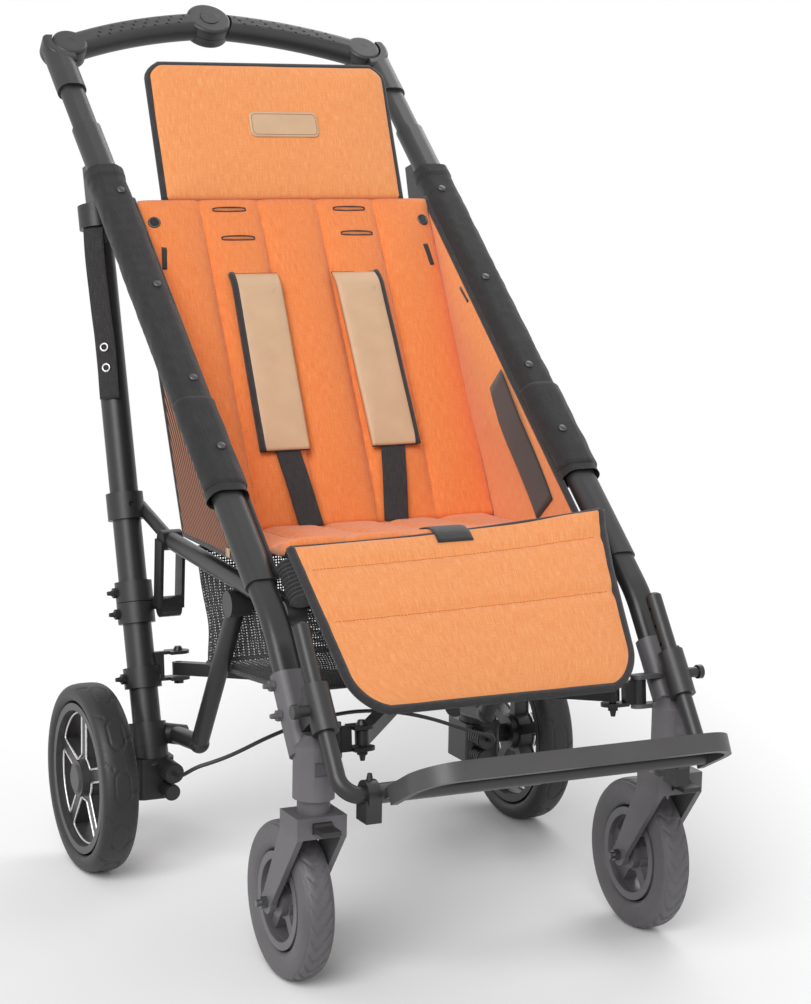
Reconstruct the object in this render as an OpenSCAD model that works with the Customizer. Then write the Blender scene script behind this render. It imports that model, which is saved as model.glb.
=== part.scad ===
// Special needs buggy with a folding cross brace, swivel casters and a padded sling seat.
// Units are millimetres, the ground is z = 0 and the rider faces -Y.

/* [Side frames] */
// distance of each side frame's plane from the middle
side_x = 230; // [200:1:260]
// lean of the upper front tube from upright
lean_up = 51.1; // [45:0.1:55]
// lean of the lower front tube from upright
lean_low = 35.8; // [30:0.1:40]
// lean of the rear tube from upright
lean_rear = 17; // [10:0.1:22]
// height of the front tube's bend
bend_z = 392; // [370:1:410]
// length of the upper front tube above the bend
main_top = 824; // [790:1:860]
// depth of the main front tube
main_depth = 26; // [24:0.5:28]
// width of the main front tube
main_width = 38; // [36:0.5:40]
// wall of the flat-oval tubes
oval_wall = 2.5; // [2:0.1:3]
// rear tube diameter
rear_d = 36; // [32:0.5:38]
// rear tube length
rear_len = 690; // [660:1:700]
// wall of the round tubes
round_wall = 2; // [1.5:0.1:3]
// seat rail and strut diameter
rail_d = 22; // [18:0.5:24]

/* [Handle] */
// distance of the corner hinges from the middle
hinge_x = 213; // [205:1:218]
// place of the corner hinges along the front tube, from the bend
hinge_up = 984; // [970:1:1000]
// rise of the handle's hub above the corner hinges
hub_rise = 56; // [45:1:65]
// thickness of the grips
grip_thick = 30; // [26:0.5:34]
// depth of the grips
grip_depth = 40; // [34:0.5:44]
// diameter of the hub
hub_d = 62; // [56:1:68]

/* [Wheels] */
// front wheel diameter
front_wheel_d = 178; // [165:1:190]
// front tyre width
front_tyre_w = 38; // [34:1:42]
// distance of the casters from the middle
caster_x = 224; // [215:1:230]
// trail of the caster wheels
caster_trail = 60; // [50:1:65]
// rear wheel diameter
rear_wheel_d = 235; // [225:1:245]
// rear tyre width
rear_tyre_w = 45; // [40:1:48]
// distance of the rear wheels from the middle
rear_wheel_x = 301; // [296:1:310]

/* [Footrest] */
// footplate width
plate_w = 385; // [366:1:390]
// footplate depth ahead of its hinge
plate_depth = 122; // [110:1:130]
// tilt of the footplate from level
plate_tilt = 28; // [20:0.5:32]
// height of the footplate rim
rim_h = 21; // [18:0.5:24]
// hanger tube diameter
hanger_d = 19; // [17:0.5:21]

/* [Cross brace] */
// height of a brace bar
bar_h = 16; // [14:0.5:18]
// width of a brace bar
bar_w = 16; // [14:0.5:18]
// reach of the swinging arm at the rear tube
rear_arm = 48; // [46:0.5:52]
// reach of the swinging arm at the front leg
front_arm = 34; // [32:0.5:38]

/* [Seat] */
// thickness of the seat and calf pads
pad_thick = 24; // [18:1:28]
// width of the head pad
head_w = 322; // [300:1:340]
// depth of the basket below the seat rails
basket_drop = 108; // [95:1:112]

/* [Hidden] */
$fn = 64;
// clearance between pieces that are fixed together
fit = 0.15;
// clearance between pieces that move past each other
run = 0.35;
// clearance of a pin in its bore
pin_fit = 0.08;
// overrun of cuts
over = 1;
// side-by-side room between soft pieces and their neighbours
soft_gap = 0.5;
// fore-and-aft shift that centres the part over its origin
body_shift = 303.67;
bend_y = -585;
// lower front tube
low_depth = main_depth - 2 * oval_wall - 2 * fit;
low_width = main_width - 2 * oval_wall - 2 * fit;
bend_r = 150;
bend_turn = lean_up - lean_low;
bend_reach = bend_r * tan(bend_turn / 2);
main_bottom = 56;
low_insert = 92;
low_len = 130;
// handle tube inside the main tube
stem_depth = low_depth;
stem_width = low_width;
stem_insert = 70;
elbow_bottom = 898;
elbow_wall = 3;
elbow_arm = 40;
hinge_r = 24;
hinge_pin_d = 10;
seam_gap = 0.6;
// rear tube
rear_foot_y = -183;
rear_foot_z = 148;
collar_d = 47;
collar_a_up = 308;
collar_a_len = 34;
collar_b_up = 186;
collar_b_len = 26;
collar_b_gap = 1;
collar_c_up = 91;
collar_c_len = 26;
collar_d_up = 20;
collar_d_len = 30;
bolt_d = 8;
bolt_head_d = 13;
bolt_head_h = 5;
cap_nut_h = 12;
cap_tip_d = 5;
// seat rail
rail_room = 2;
rail_x = side_x - main_width / 2 - rail_d / 2 - rail_room;
knee_y = -168;
knee_z = 411;
rail_front_y = -556;
rail_front_z = 397;
strut_low_y = -272;
strut_low_z = 176;
strut_top_y = -392;
// front leg
stem_y = -678;
cast_bottom = 222;
cast_d = 46;
fork_top = 206;
// footrest
hang_in = 8;
hang_off = 42;
hang_down = 218;
hang_bend_r = 24;
hang_len = 200;
hang_round = 3;
clamp_d = 30;
clamp_len = 54;
clamp_up = 100;
ring_x = 190;
ring_w = 14;
ring_d = 32;
plate_t = 4;
rim_t = 8;
plate_start = 26;
plate_corner = 46;
pivot_tube_d = 22;
// brace
brace_front_y = -656;
brace_front_z = 286;
brace_rear_y = -158;
brace_rear_z = 234;
bar_gap = 3;
bar_step = (bar_h + bar_gap) / 2;
fork_flange = 4;
eye_d = 28;
// rear axle
axle_y = -170;

brace_tilt = atan((brace_front_z - brace_rear_z) / (brace_rear_y - brace_front_y));
brace_run = norm([brace_rear_y - brace_front_y, brace_front_z - brace_rear_z]);
post_d = 18;
post_x = caster_x - cast_d / 2 - post_d / 2;
front_tip_x = post_x - front_arm;
rear_tip_x = side_x - rear_arm;

module centred() translate([0, body_shift, 0]) children();
// pieces are drawn for the left side, the right side mirrors them
module side(hand) centred() mirror([hand < 0 ? 1 : 0, 0, 0]) children();
module on_upper(up) translate([side_x, bend_y, bend_z]) rotate([-lean_up, 0, 0])
  translate([0, 0, up]) children();
module on_lower(down) translate([side_x, bend_y, bend_z]) rotate([-lean_low, 0, 0])
  translate([0, 0, -down]) children();
module on_rear(up) translate([side_x, rear_foot_y, rear_foot_z]) rotate([-lean_rear, 0, 0])
  translate([0, 0, up]) children();
module on_brace(level) translate([0, brace_front_y, brace_front_z])
  rotate([-brace_tilt, 0, 0]) translate([0, 0, level]) children();

module flat_oval(width, depth) {
  square([width - depth, depth], center = true);
  for (end = [-1, 1]) translate([end * (width - depth) / 2, 0]) circle(d = depth);
}
module oval_ring(width, depth, wall) difference() {
  flat_oval(width, depth);
  flat_oval(width - 2 * wall, depth - 2 * wall);
}
module ring(outer_d, inner_d) difference() {
  circle(d = outer_d);
  circle(d = inner_d);
}
module pipe(outer_d, inner_d, len) linear_extrude(len) ring(outer_d, inner_d);
// a straight rod between two points
module rod(from, to, d) {
  run_len = norm(to - from);
  turn = acos((to[2] - from[2]) / run_len);
  heading = atan2(to[1] - from[1], to[0] - from[0]);
  translate(from) rotate([0, turn, heading]) cylinder(d = d, h = run_len);
}
// an outward bolt with a domed cap nut along +X
module cap_nut() rotate([0, 90, 0]) {
  cylinder(d = bolt_head_d, h = bolt_head_h, $fn = 6);
  cylinder(d1 = bolt_d, d2 = cap_tip_d, h = cap_nut_h);
}
module round_head() cylinder(d1 = bolt_head_d, d2 = bolt_d, h = bolt_head_h);

module main_tube(hand) color("dimgray") side(hand)
  on_upper(main_bottom) linear_extrude(main_top
    - main_bottom) oval_ring(main_width, main_depth, oval_wall);

module lower_tube(hand) color("dimgray") side(hand) {
  on_upper(bend_reach) linear_extrude(main_bottom + low_insert - bend_reach)
    oval_ring(low_width, low_depth, oval_wall);
  on_upper(bend_reach) translate([0, bend_r, 0]) rotate([-90, 0, 0]) rotate([0, 90, 0])
    rotate_extrude(angle = bend_turn, $fn = 128) translate([bend_r, 0]) rotate(90)
      oval_ring(low_width, low_depth, oval_wall);
  on_lower(low_len) linear_extrude(low_len - bend_reach) oval_ring(low_width, low_depth, oval_wall);
}

// handle: x across, z along the front tube, y through the handle's thickness
module on_handle() translate([0, bend_y, bend_z]) rotate([-lean_up, 0, 0])
  translate([0, 0, hinge_up]) children();
arch_r = 620;
arch_chord = norm([hinge_x, hub_rise]);
arch_drop = sqrt(arch_r * arch_r - arch_chord * arch_chord / 4);
arch_lean = atan2(hub_rise, hinge_x);
arch_x = hinge_x / 2 - arch_drop * sin(arch_lean);
arch_z = hub_rise / 2 - arch_drop * cos(arch_lean);
arch_start = atan2(-arch_z, hinge_x - arch_x);
arch_sweep = atan2(hub_rise - arch_z, -arch_x) - arch_start;
puck_round = 5;
button_d = 26;
button_h = 8;
button_sink = 4;
button_face = 1;
dimple_d = 4;
dimple_depth = 0.8;
dimple_rows = 3;
dimple_count = 8;

module puck(d, thick, round) rotate([90, 0, 0]) rotate_extrude() intersection() {
  translate([0, -thick / 2]) square([d / 2, thick]);
  union() {
    translate([0, -thick / 2]) square([d / 2 - round, thick]);
    translate([0, round - thick / 2]) square([d / 2, thick - 2 * round]);
    for (end = [-1, 1]) translate([d / 2 - round, end * (thick / 2 - round)]) circle(r = round);
  }
}
module bore_y(d, len) rotate([90, 0, 0]) cylinder(d = d, h = len, center = true);
module front_layer() intersection() {
  children();
  translate([-hinge_x, -grip_thick - seam_gap / 2, -hinge_x])
    cube([3 * hinge_x, grip_thick, 3 * hinge_x]);
}
module back_layer() intersection() {
  children();
  translate([-hinge_x, seam_gap / 2, -hinge_x]) cube([3 * hinge_x, grip_thick, 3 * hinge_x]);
}
module grip_band() difference() {
  translate([arch_x, 0, arch_z]) rotate([90, 0, 0]) rotate([0, 0, arch_start])
    rotate_extrude(angle = arch_sweep, $fn = 256)
      translate([arch_r, 0]) flat_oval(grip_depth, grip_thick);
  // rows of finger dimples on the front face
  translate([arch_x, 0, arch_z])
    for (row = [1 : dimple_rows], place = [1 : dimple_count])
      rotate([0, -arch_start - arch_sweep * (place + row / dimple_rows + 1) / (dimple_count + 4), 0])
        translate([arch_r + (row - (dimple_rows + 1) / 2) * grip_depth / (2
          * dimple_rows), -grip_thick / 2, 0])
          bore_y(dimple_d, 2 * dimple_depth);
}
module at_hinge() translate([hinge_x, 0, 0]) children();
module at_hub() translate([0, 0, hub_rise]) children();

module grip(hand) color("darkslategray") side(hand) on_handle() {
  difference() {
    union() {
      front_layer() difference() {
        union() {
          grip_band();
          at_hinge() puck(2 * hinge_r, grip_thick, puck_round);
          if (hand < 0) at_hub() puck(hub_d, grip_thick, puck_round);
        }
        if (hand > 0) at_hub() bore_y(hub_d + 2 * seam_gap, 2 * grip_thick);
      }
      back_layer() difference() {
        union() {
          grip_band();
          if (hand > 0) at_hub() puck(hub_d, grip_thick, puck_round);
        }
        at_hinge() bore_y(2 * hinge_r + 2 * seam_gap, 2 * grip_thick);
        if (hand < 0) at_hub() bore_y(hub_d + 2 * seam_gap, 2 * grip_thick);
      }
      // both layers are one piece between the hub and the corner
      difference() {
        grip_band();
        at_hinge() bore_y(2 * hinge_r + 2 * seam_gap, 2 * grip_thick);
        at_hub() bore_y(hub_d + 2 * seam_gap, 2 * grip_thick);
      }
      if (hand < 0) at_hub() translate([0, grip_thick / 4 - seam_gap, 0])
        bore_y(hinge_pin_d, grip_thick / 2);
    }
    at_hinge() bore_y(hinge_pin_d + 2 * pin_fit, 2 * grip_thick);
    if (hand < 0) at_hub() translate([0, -grip_thick / 2, 0])
      bore_y(button_d + 2 * run, 2 * (button_h + button_sink));
    if (hand > 0) at_hub() bore_y(hinge_pin_d + 2 * pin_fit, 2 * grip_thick);
  }
}

module handle_button() color("black") centred() on_handle() at_hub()
  translate([0, -grip_thick / 2 - button_face + button_h / 2, 0]) puck(button_d, button_h, button_face);

module handle_corner(hand) color("darkslategray") side(hand) {
  // handle tube that slides into the main tube
  on_upper(main_top - stem_insert) linear_extrude(elbow_bottom + elbow_arm - main_top + stem_insert)
    oval_ring(stem_width, stem_depth, oval_wall);
  elbow_w = stem_width + 2 * elbow_wall;
  elbow_r = side_x + elbow_w / 2 - hinge_x;
  difference() {
    union() {
      on_upper(elbow_bottom) linear_extrude(hinge_up - elbow_bottom)
        difference() {
          flat_oval(elbow_w, grip_thick - 2 * fit);
          flat_oval(stem_width - 2 * oval_wall, stem_depth - 2 * oval_wall);
        }
      on_handle() intersection() {
        at_hinge() puck(2 * elbow_r, grip_thick, puck_round);
        translate([hinge_x, -grip_thick, -elbow_r])
          cube([2 * elbow_r, 2 * grip_thick, elbow_r + hinge_r / 2]);
      }
      on_handle() back_layer() at_hinge() puck(2 * hinge_r, grip_thick, puck_round);
    }
    on_handle() difference() {
      at_hinge() translate([0, -grip_thick / 2, 0])
        bore_y(2 * hinge_r + 2 * seam_gap, grip_thick + seam_gap);
      back_layer() at_hinge() cube([3 * hinge_r, 3 * hinge_r, 3 * hinge_r], center = true);
    }
    on_handle() back_layer() difference() {
      translate([0, 0, -hinge_r]) cube([hinge_x, grip_thick, 2 * hinge_r]);
      at_hinge() bore_y(2 * hinge_r, 4 * grip_thick);
    }
  }
  on_handle() at_hinge() bore_y(hinge_pin_d, grip_thick - 2 * fit);
}

// front leg casting with the caster's bearing housing
cast_wall = 4;
cast_start = 58;
cast_end = 152;
cast_nut_shares = [0.13, 0.5];
cast_top = 292;
kingpin_d = 20;
kingpin_len = 50;
lug_t = 5;
fork_room = 2;
front_u_h = bar_h + 2 * fork_room + 2 * fork_flange;
lug_bore_d = 10;
recess_w = 16;
recess_depth = 2;
recess_top_share = 0.85;
recess_len_share = 0.45;

module brace_post(level, h, d) on_brace(level) translate([post_x, 0, -h / 2]) cylinder(d = d, h = h);
module post_lug(level) on_brace(level) difference() {
  union() {
    translate([post_x, 0, -lug_t / 2]) cylinder(d = post_d, h = lug_t);
    translate([post_x, -post_d / 2, -lug_t / 2]) cube([side_x - post_x - main_width / 4, post_d, lug_t]);
  }
}
module leg_casting(hand) color("dimgray") side(hand) {
  level = hand * bar_step;
  lug_level = front_u_h / 2 + run + lug_t / 2;
  difference() {
    union() {
      on_lower(cast_end) linear_extrude(cast_end - cast_start)
        flat_oval(low_width + 2 * cast_wall, low_depth + 2 * cast_wall);
      translate([caster_x, stem_y, cast_bottom])
        cylinder(d = cast_d, h = cast_top - cast_bottom - cast_d / 4);
      translate([caster_x, stem_y, cast_top - cast_d / 4])
        cylinder(d1 = cast_d, d2 = cast_d / 2, h = cast_d / 4);
      for (end = [-1, 1]) post_lug(level + end * lug_level);
    }
    on_lower(low_len) linear_extrude(low_len)
      flat_oval(low_width + 2 * fit, low_depth + 2 * fit);
    translate([caster_x, stem_y, cast_bottom - over])
      cylinder(d = kingpin_d + 2 * pin_fit, h = kingpin_len + over);
    // pocket in the front of the housing
    translate([caster_x - recess_w / 2, stem_y - cast_d / 2 - over,
      cast_bottom + (cast_top - cast_bottom) * (recess_top_share - recess_len_share)])
      cube([recess_w, recess_depth + over, (cast_top - cast_bottom) * recess_len_share / 2]);
    // the swinging arm's knuckle runs between the lugs
    brace_post(level, front_u_h + 2 * run, post_d + 2 * run);
  }
  brace_post(level, front_u_h + 2 * run + lug_t, lug_bore_d);
  // clamp bolt with a cap nut
  for (place = cast_nut_shares) on_lower(cast_start + (cast_end - cast_start) * place)
    translate([low_width / 2 + cast_wall - fit, 0, 0]) cap_nut();
}

module u_bracket(u_h) difference() {
  union() {
    cylinder(d = eye_d, h = u_h, center = true);
    translate([0, -eye_d / 2, -u_h / 2]) cube([eye_d / 2, eye_d, u_h]);
  }
  union() {
    cylinder(d = eye_d + 2 * over, h = u_h - 2 * fork_flange, center = true);
    translate([-eye_d, -eye_d, fork_flange - u_h / 2])
      cube([2 * eye_d, 2 * eye_d, u_h - 2 * fork_flange]);
  }
}
web_w = 9;
module front_arm(hand) color("black") side(hand) on_brace(hand * bar_step) {
  difference() {
    union() {
      translate([post_x, 0, -front_u_h / 2]) cylinder(d = post_d, h = front_u_h);
      translate([front_tip_x + eye_d / 2, -web_w / 2, -front_u_h / 2])
        cube([front_arm - eye_d / 2, web_w, front_u_h]);
      translate([front_tip_x, 0, 0]) u_bracket(front_u_h);
    }
    translate([post_x, 0, -front_u_h]) cylinder(d = lug_bore_d + 2 * pin_fit, h = 2 * front_u_h);
  }
  // bolt that the brace bar turns on, its nut points down
  translate([front_tip_x, 0, -front_u_h / 2 - bolt_head_h]) {
    cylinder(d = bolt_d, h = front_u_h + bolt_head_h);
    cylinder(d = bolt_head_d, h = bolt_head_h, $fn = 6);
    mirror([0, 0, 1]) cylinder(d1 = bolt_d, d2 = cap_tip_d, h = cap_nut_h - bolt_head_h);
  }
  translate([front_tip_x, 0, front_u_h / 2]) round_head();
}
// the arm turns about the leaning rear tube, so its bracket leaves more room above the bar
rear_room_top = 11;
rear_room_low = 2;
bar_end_room = 7;
rear_u_h = bar_h + rear_room_top + rear_room_low + 2 * fork_flange;
rear_u_lift = (rear_room_top - rear_room_low) / 2;
module rear_arm(hand) color("black") side(hand) {
  level = rear_u_lift - hand * bar_step;
  difference() {
    union() {
      on_rear(collar_c_up - collar_c_len / 2) cylinder(d = collar_d, h = collar_c_len);
      on_brace(level) translate([rear_tip_x + eye_d / 2, brace_run - web_w / 2, -rear_u_h / 2])
        cube([rear_arm - eye_d / 2, web_w, rear_u_h]);
      on_brace(level) translate([rear_tip_x, brace_run, 0]) u_bracket(rear_u_h);
    }
    on_rear(-rear_len) cylinder(d = rear_d + 2 * run, h = 3 * rear_len);
    // room for the bar's end as the brace folds
    on_brace(level) translate([rear_tip_x, brace_run, 0])
      cylinder(d = eye_d + 2 * bar_end_room, h = rear_u_h - 2 * fork_flange, center = true);
  }
  on_rear(collar_c_up) translate([collar_d / 2 - fit, 0, 0]) cap_nut();
  on_brace(level) translate([rear_tip_x, brace_run, rear_u_h / 2]) round_head();
  on_brace(level) translate([rear_tip_x, brace_run, -rear_u_h / 2 - bolt_head_h])
    cylinder(d = bolt_head_d, h = bolt_head_h, $fn = 6);
}

// brace bars: drawn from the front eye to the rear eye of the other side
bar_len = norm([front_tip_x + rear_tip_x, brace_run]);
bar_angle = atan2(front_tip_x + rear_tip_x, brace_run);
module brace_bar(hand) on_brace(hand * bar_step) translate([hand * front_tip_x, 0, 0])
  rotate([0, 0, hand * bar_angle]) difference() {
    union() {
      translate([0, 0, -bar_h / 2]) cylinder(d = bar_w, h = bar_h);
      translate([0, bar_len, -bar_h / 2]) cylinder(d = bar_w, h = bar_h);
      translate([-bar_w / 2, 0, -bar_h / 2]) cube([bar_w, bar_len, bar_h]);
    }
    translate([0, 0, -bar_h]) cylinder(d = bolt_d + 2 * pin_fit, h = 2 * bar_h);
    translate([0, bar_len, -bar_h]) cylinder(d = bolt_d + 2 * pin_fit, h = 2 * bar_h);
  }
module upper_bar() color("black") centred() brace_bar(1);
module lower_bar() color("black") centred() brace_bar(-1);

// rear tube and the collars on it
rear_start = -20;
cap_h = 6;
top_sleeve_len = 24;
screw_d = 7;
screw_depth = 3;
module rear_tube(hand) color("dimgray") side(hand) on_rear(rear_start)
  pipe(rear_d, rear_d - 2 * round_wall, rear_len - rear_start);
module collar(up, len) on_rear(up - len / 2) pipe(collar_d, rear_d + 2 * fit, len);
top_plate_t = 14;
top_plate_w = 64;
top_plate_h = 60;
strut_stub_over = 4;
strut_stub_d = rail_d + strut_stub_over;
knee_d = 16;
link_w = 24;
link_t = 4;
module collars(hand) color("black") side(hand) difference() {
  union() {
    difference() {
      collar(collar_a_up, collar_a_len);
      on_rear(collar_a_up) translate([0, -collar_d / 2, 0]) bore_y(screw_d, 2 * screw_depth);
    }
    for (place = [-1, 1]) {
      collar(collar_b_up + place * (collar_b_len + collar_b_gap) / 2, collar_b_len);
      on_rear(collar_b_up + place * (collar_b_len + collar_b_gap) / 2)
        translate([collar_d / 2 - fit, 0, 0]) cap_nut();
    }
    collar(collar_d_up, collar_d_len);
    // cap and cheek plate that hold the rear tube's top to the front tube
    on_rear(rear_len - top_sleeve_len) pipe(collar_d, rear_d + 2 * fit, top_sleeve_len);
    on_rear(rear_len + fit) cylinder(d = collar_d, h = cap_h);
    difference() {
      on_rear(rear_len) translate([-top_plate_t / 2, -collar_d, 0])
        cube([top_plate_t, top_plate_w, top_plate_h]);
      on_upper(0) translate([0, -main_depth * 2 + main_depth / 2 + 2 * cover_bore + cover_t, main_bottom])
        translate([-main_width, -main_depth * 2, 0]) cube([main_width * 2, main_depth * 4, main_top]);
    }
    // arms from the collars to the knee and to the foot of the channel link
    rod(collar_side(collar_a_up), [rail_x, knee_y, knee_z], knee_d);
    rod(collar_side(collar_b_up), [rail_x, knee_y + link_back, knee_z - link_fall], knee_d);
    // stub that carries the strut
    rod(strut_root(0), strut_root(1 + strut_stub_d / 2 / norm(strut_root(1)
      - strut_root(0))), strut_stub_d);
  }
  on_rear(-rear_len) cylinder(d = rear_d + 2 * fit, h = 2 * rear_len + fit);
  link_eyes(2 * fit);
}
function on_rear_y(up) = rear_foot_y + up * sin(lean_rear);
function on_rear_z(up) = rear_foot_z + up * cos(lean_rear);
function collar_side(up) = [side_x - collar_d / 2 + link_t, on_rear_y(up), on_rear_z(up)];
// a point along the stub that carries the strut, as a share of its length
function strut_root(share) = collar_side(collar_d_up)
  + share * [rail_x - side_x + collar_d / 2 - link_t, -link_w / 2, 0];

link_gap = 2;
link_forward = collar_d / 2 + link_w / 2 + run;
link_back = on_rear_y(collar_b_up) - link_forward - knee_y;
link_fall = knee_z - on_rear_z(collar_b_up);
link_len = norm([link_back, link_fall]);
rail_eye_d = 29;
knee_eye_over = 2;
knee_eye_d = link_w + knee_eye_over;
// the eyes at both ends of the channel link
module link_eyes(grow) for (share = [0, 1])
  translate([rail_x, knee_y + share * link_back, knee_z - share * link_fall]) rotate([0, 90, 0])
    cylinder(d = knee_eye_d + grow, h = rail_d + 2 * link_gap + 2 * grow, center = true);
// seat rail from the knee to the front tube, with the channel link down to the double collar
module seat_rail(hand) color("dimgray") side(hand) {
  rod([rail_x, knee_y, knee_z], [rail_x, rail_front_y, rail_front_z], rail_d);
  translate([rail_x, rail_front_y, rail_front_z]) rotate([0, 90, 0])
    cylinder(d = rail_eye_d, h = rail_d + link_gap, center = true);
  link_eyes(0);
  // channel link
  translate([rail_x, knee_y, knee_z]) rotate([atan2(link_back, link_fall), 0, 0]) for (end = [-1, 1])
    translate([end * (rail_d / 2 + link_gap) + (end - 1) * link_t / 2 - end, -link_w / 2, -link_len])
      cube([link_t, link_w, link_len]);
}

// bent strut from the lower clamp up to the rail
strut_eye_d = 31;
knuckle_over = 3;
knuckle_d = rail_d + knuckle_over;
module strut(hand) color("dimgray") side(hand) difference() {
  elbow = [rail_x, strut_low_y, strut_low_z];
  head = [rail_x, strut_top_y, rail_front_z - rail_d];
  union() {
    rod(strut_root(1), elbow, rail_d);
    translate(elbow) sphere(d = knuckle_d);
    rod(elbow, head, rail_d);
    translate(head) rotate([0, 90, 0]) cylinder(d = strut_eye_d, h = rail_d + 2
      * link_gap, center = true);
  }
  rod([rail_x, knee_y, knee_z], [rail_x, rail_front_y, rail_front_z], rail_d + 2 * fit);
  rod(strut_root(0), strut_root(3), strut_stub_d + 2 * fit);
}

// rear axle housing
house_w = 50;
house_l = 66;
house_h = 52;
house_round = 10;
axle_d = 12;
rib_d = 26;
rib_len = 30;
rib_count = 5;
rib_depth = 1.2;
small_rib_share = 0.8;
socket_wall = 5;
rear_r = rear_wheel_d / 2;
rear_hub_w = 40;
hub_room = 0.8;
module soft_block(size, round) linear_extrude(size[2]) union() {
  square([size[0] - 2 * round, size[1]], center = true);
  square([size[0], size[1] - 2 * round], center = true);
  for (cx = [-1, 1], cy = [-1, 1]) translate([cx * (size[0] / 2 - round), cy * (size[1] / 2
    - round)]) circle(r = round);
}
module ribbed_drum(d, len) rotate([90, 0, 0]) rotate_extrude() {
  square([d / 2 - rib_depth, len]);
  for (rib = [0 : rib_count - 1]) translate([0, rib * len / rib_count])
    square([d / 2, len / rib_count / 2]);
}
module axle_housing(hand) color("black") side(hand) {
  difference() {
    union() {
      translate([side_x, (rear_foot_y + axle_y) / 2, rear_r - house_h / 2])
        soft_block([house_w, house_l, house_h], house_round);
      on_rear(rear_start) cylinder(d = rear_d + 2 * socket_wall, h = collar_d_up - collar_d_len / 2
        - fit - rear_start);
      translate([side_x - house_w / 4, (rear_foot_y + axle_y) / 2 - house_l / 2, rear_r
        + house_h / 4]) ribbed_drum(rib_d, rib_len);
      translate([side_x - house_w / 4, (rear_foot_y + axle_y) / 2 - house_l / 2, rear_r - house_h / 4])
        ribbed_drum(rib_d * small_rib_share, rib_len * small_rib_share);
    }
    on_rear(rear_start - fit) cylinder(d = rear_d + 2 * fit, h = rear_len);
  }
  // stub axle and its shoulder
  translate([side_x + house_w / 4, axle_y, rear_r]) rotate([0, 90, 0]) {
    cylinder(d = axle_d, h = rear_wheel_x + rear_hub_w / 2 - side_x - house_w / 4);
    translate([0, 0, house_w / 8]) cylinder(d = 2 * axle_d, h = rear_wheel_x - rear_hub_w / 2
      - hub_room - side_x - 3 * house_w / 8);
  }
}

// footrest hangers slide in clamps on the leg castings
module on_hanger(up) on_lower(hang_down - up) translate([-hang_in, -hang_off, 0]) children();
peg_d = 12;
peg_len = 18;
peg_head_d = 16;
peg_head_len = 6;
hole_d = 5;
hole_pitch = 22;
hole_count = 4;
module hanger_clamp(hand) color("black") side(hand) difference() {
  union() {
    on_hanger(clamp_up - clamp_len / 2) cylinder(d = clamp_d, h = clamp_len);
    // saddle on the front of the casting
    on_lower(hang_down - clamp_up) translate([-hang_in, -hang_off, -clamp_len / 4])
      cube([clamp_d / 2, hang_off - low_depth / 2 - cast_wall - fit, clamp_len / 2]);
    // outward peg
    on_hanger(clamp_up) rotate([0, 90, 0]) cylinder(d = peg_d, h = clamp_d / 2 + peg_len);
    on_hanger(clamp_up) translate([clamp_d / 2 + peg_len - peg_head_len, 0, 0]) rotate([0, 90, 0])
      cylinder(d = peg_head_d, h = peg_head_len);
  }
  on_hanger(clamp_up - clamp_len) cylinder(d = hanger_d + 2 * run, h = 2 * clamp_len);
}
stub_right = 12;
tube_end_x = 14;
stub_left = 12;
block_w = 26;
block_t = 18;
block_h = 26;
ring_nut_h = 8;
hang_x = side_x - hang_in;
module hanger(hand) color("dimgray") side(hand) {
  stub_end = hand < 0 ? ring_x - ring_w / 2 - stub_right : tube_end_x - stub_left;
  difference() {
    union() {
      on_hanger(hang_bend_r) cylinder(d = hanger_d, h = hang_len - hang_bend_r - hang_round);
      on_hanger(hang_len - hang_round) cylinder(d1 = hanger_d, d2 = hanger_d - 2
        * hang_round, h = hang_round);
      on_hanger(hang_bend_r) translate([-hang_bend_r, 0, 0]) rotate([90, 0, 0]) rotate([0, 0, -90])
        rotate_extrude(angle = 90) translate([hang_bend_r, 0]) circle(d = hanger_d);
      on_hanger(0) translate([-hang_bend_r, 0, 0]) rotate([0, -90, 0])
        cylinder(d = hanger_d, h = hang_x - hang_bend_r - stub_end);
      // clamp ring with its square foot below
      on_hanger(0) translate([ring_x - hang_x - ring_w / 2, 0, 0]) rotate([0, 90, 0])
        cylinder(d = ring_d, h = ring_w);
      on_hanger(0) rotate([lean_low, 0, 0]) translate([ring_x - hang_x, 0, -ring_d / 2 - block_h / 2])
        linear_extrude(block_h) square([block_t, block_w], center = true);
      on_hanger(0) rotate([lean_low, 0, 0]) translate([ring_x - hang_x, 0, ring_d / 2 - over])
        cylinder(d1 = bolt_d, d2 = cap_tip_d, h = ring_nut_h);
    }
    // row of adjusting holes
    for (place = [0 : hole_count - 1]) on_hanger(hang_len - hanger_d - place * hole_pitch)
      translate([-hanger_d / 2, 0, 0]) rotate([0, 90, 0])
        cylinder(d = hole_d, h = hanger_d / 3, center = true);
  }
}

// footplate: a deck in a deep rim, turning on the hangers' stubs
deck_rise = 2;
plate_gap = 1;
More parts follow.
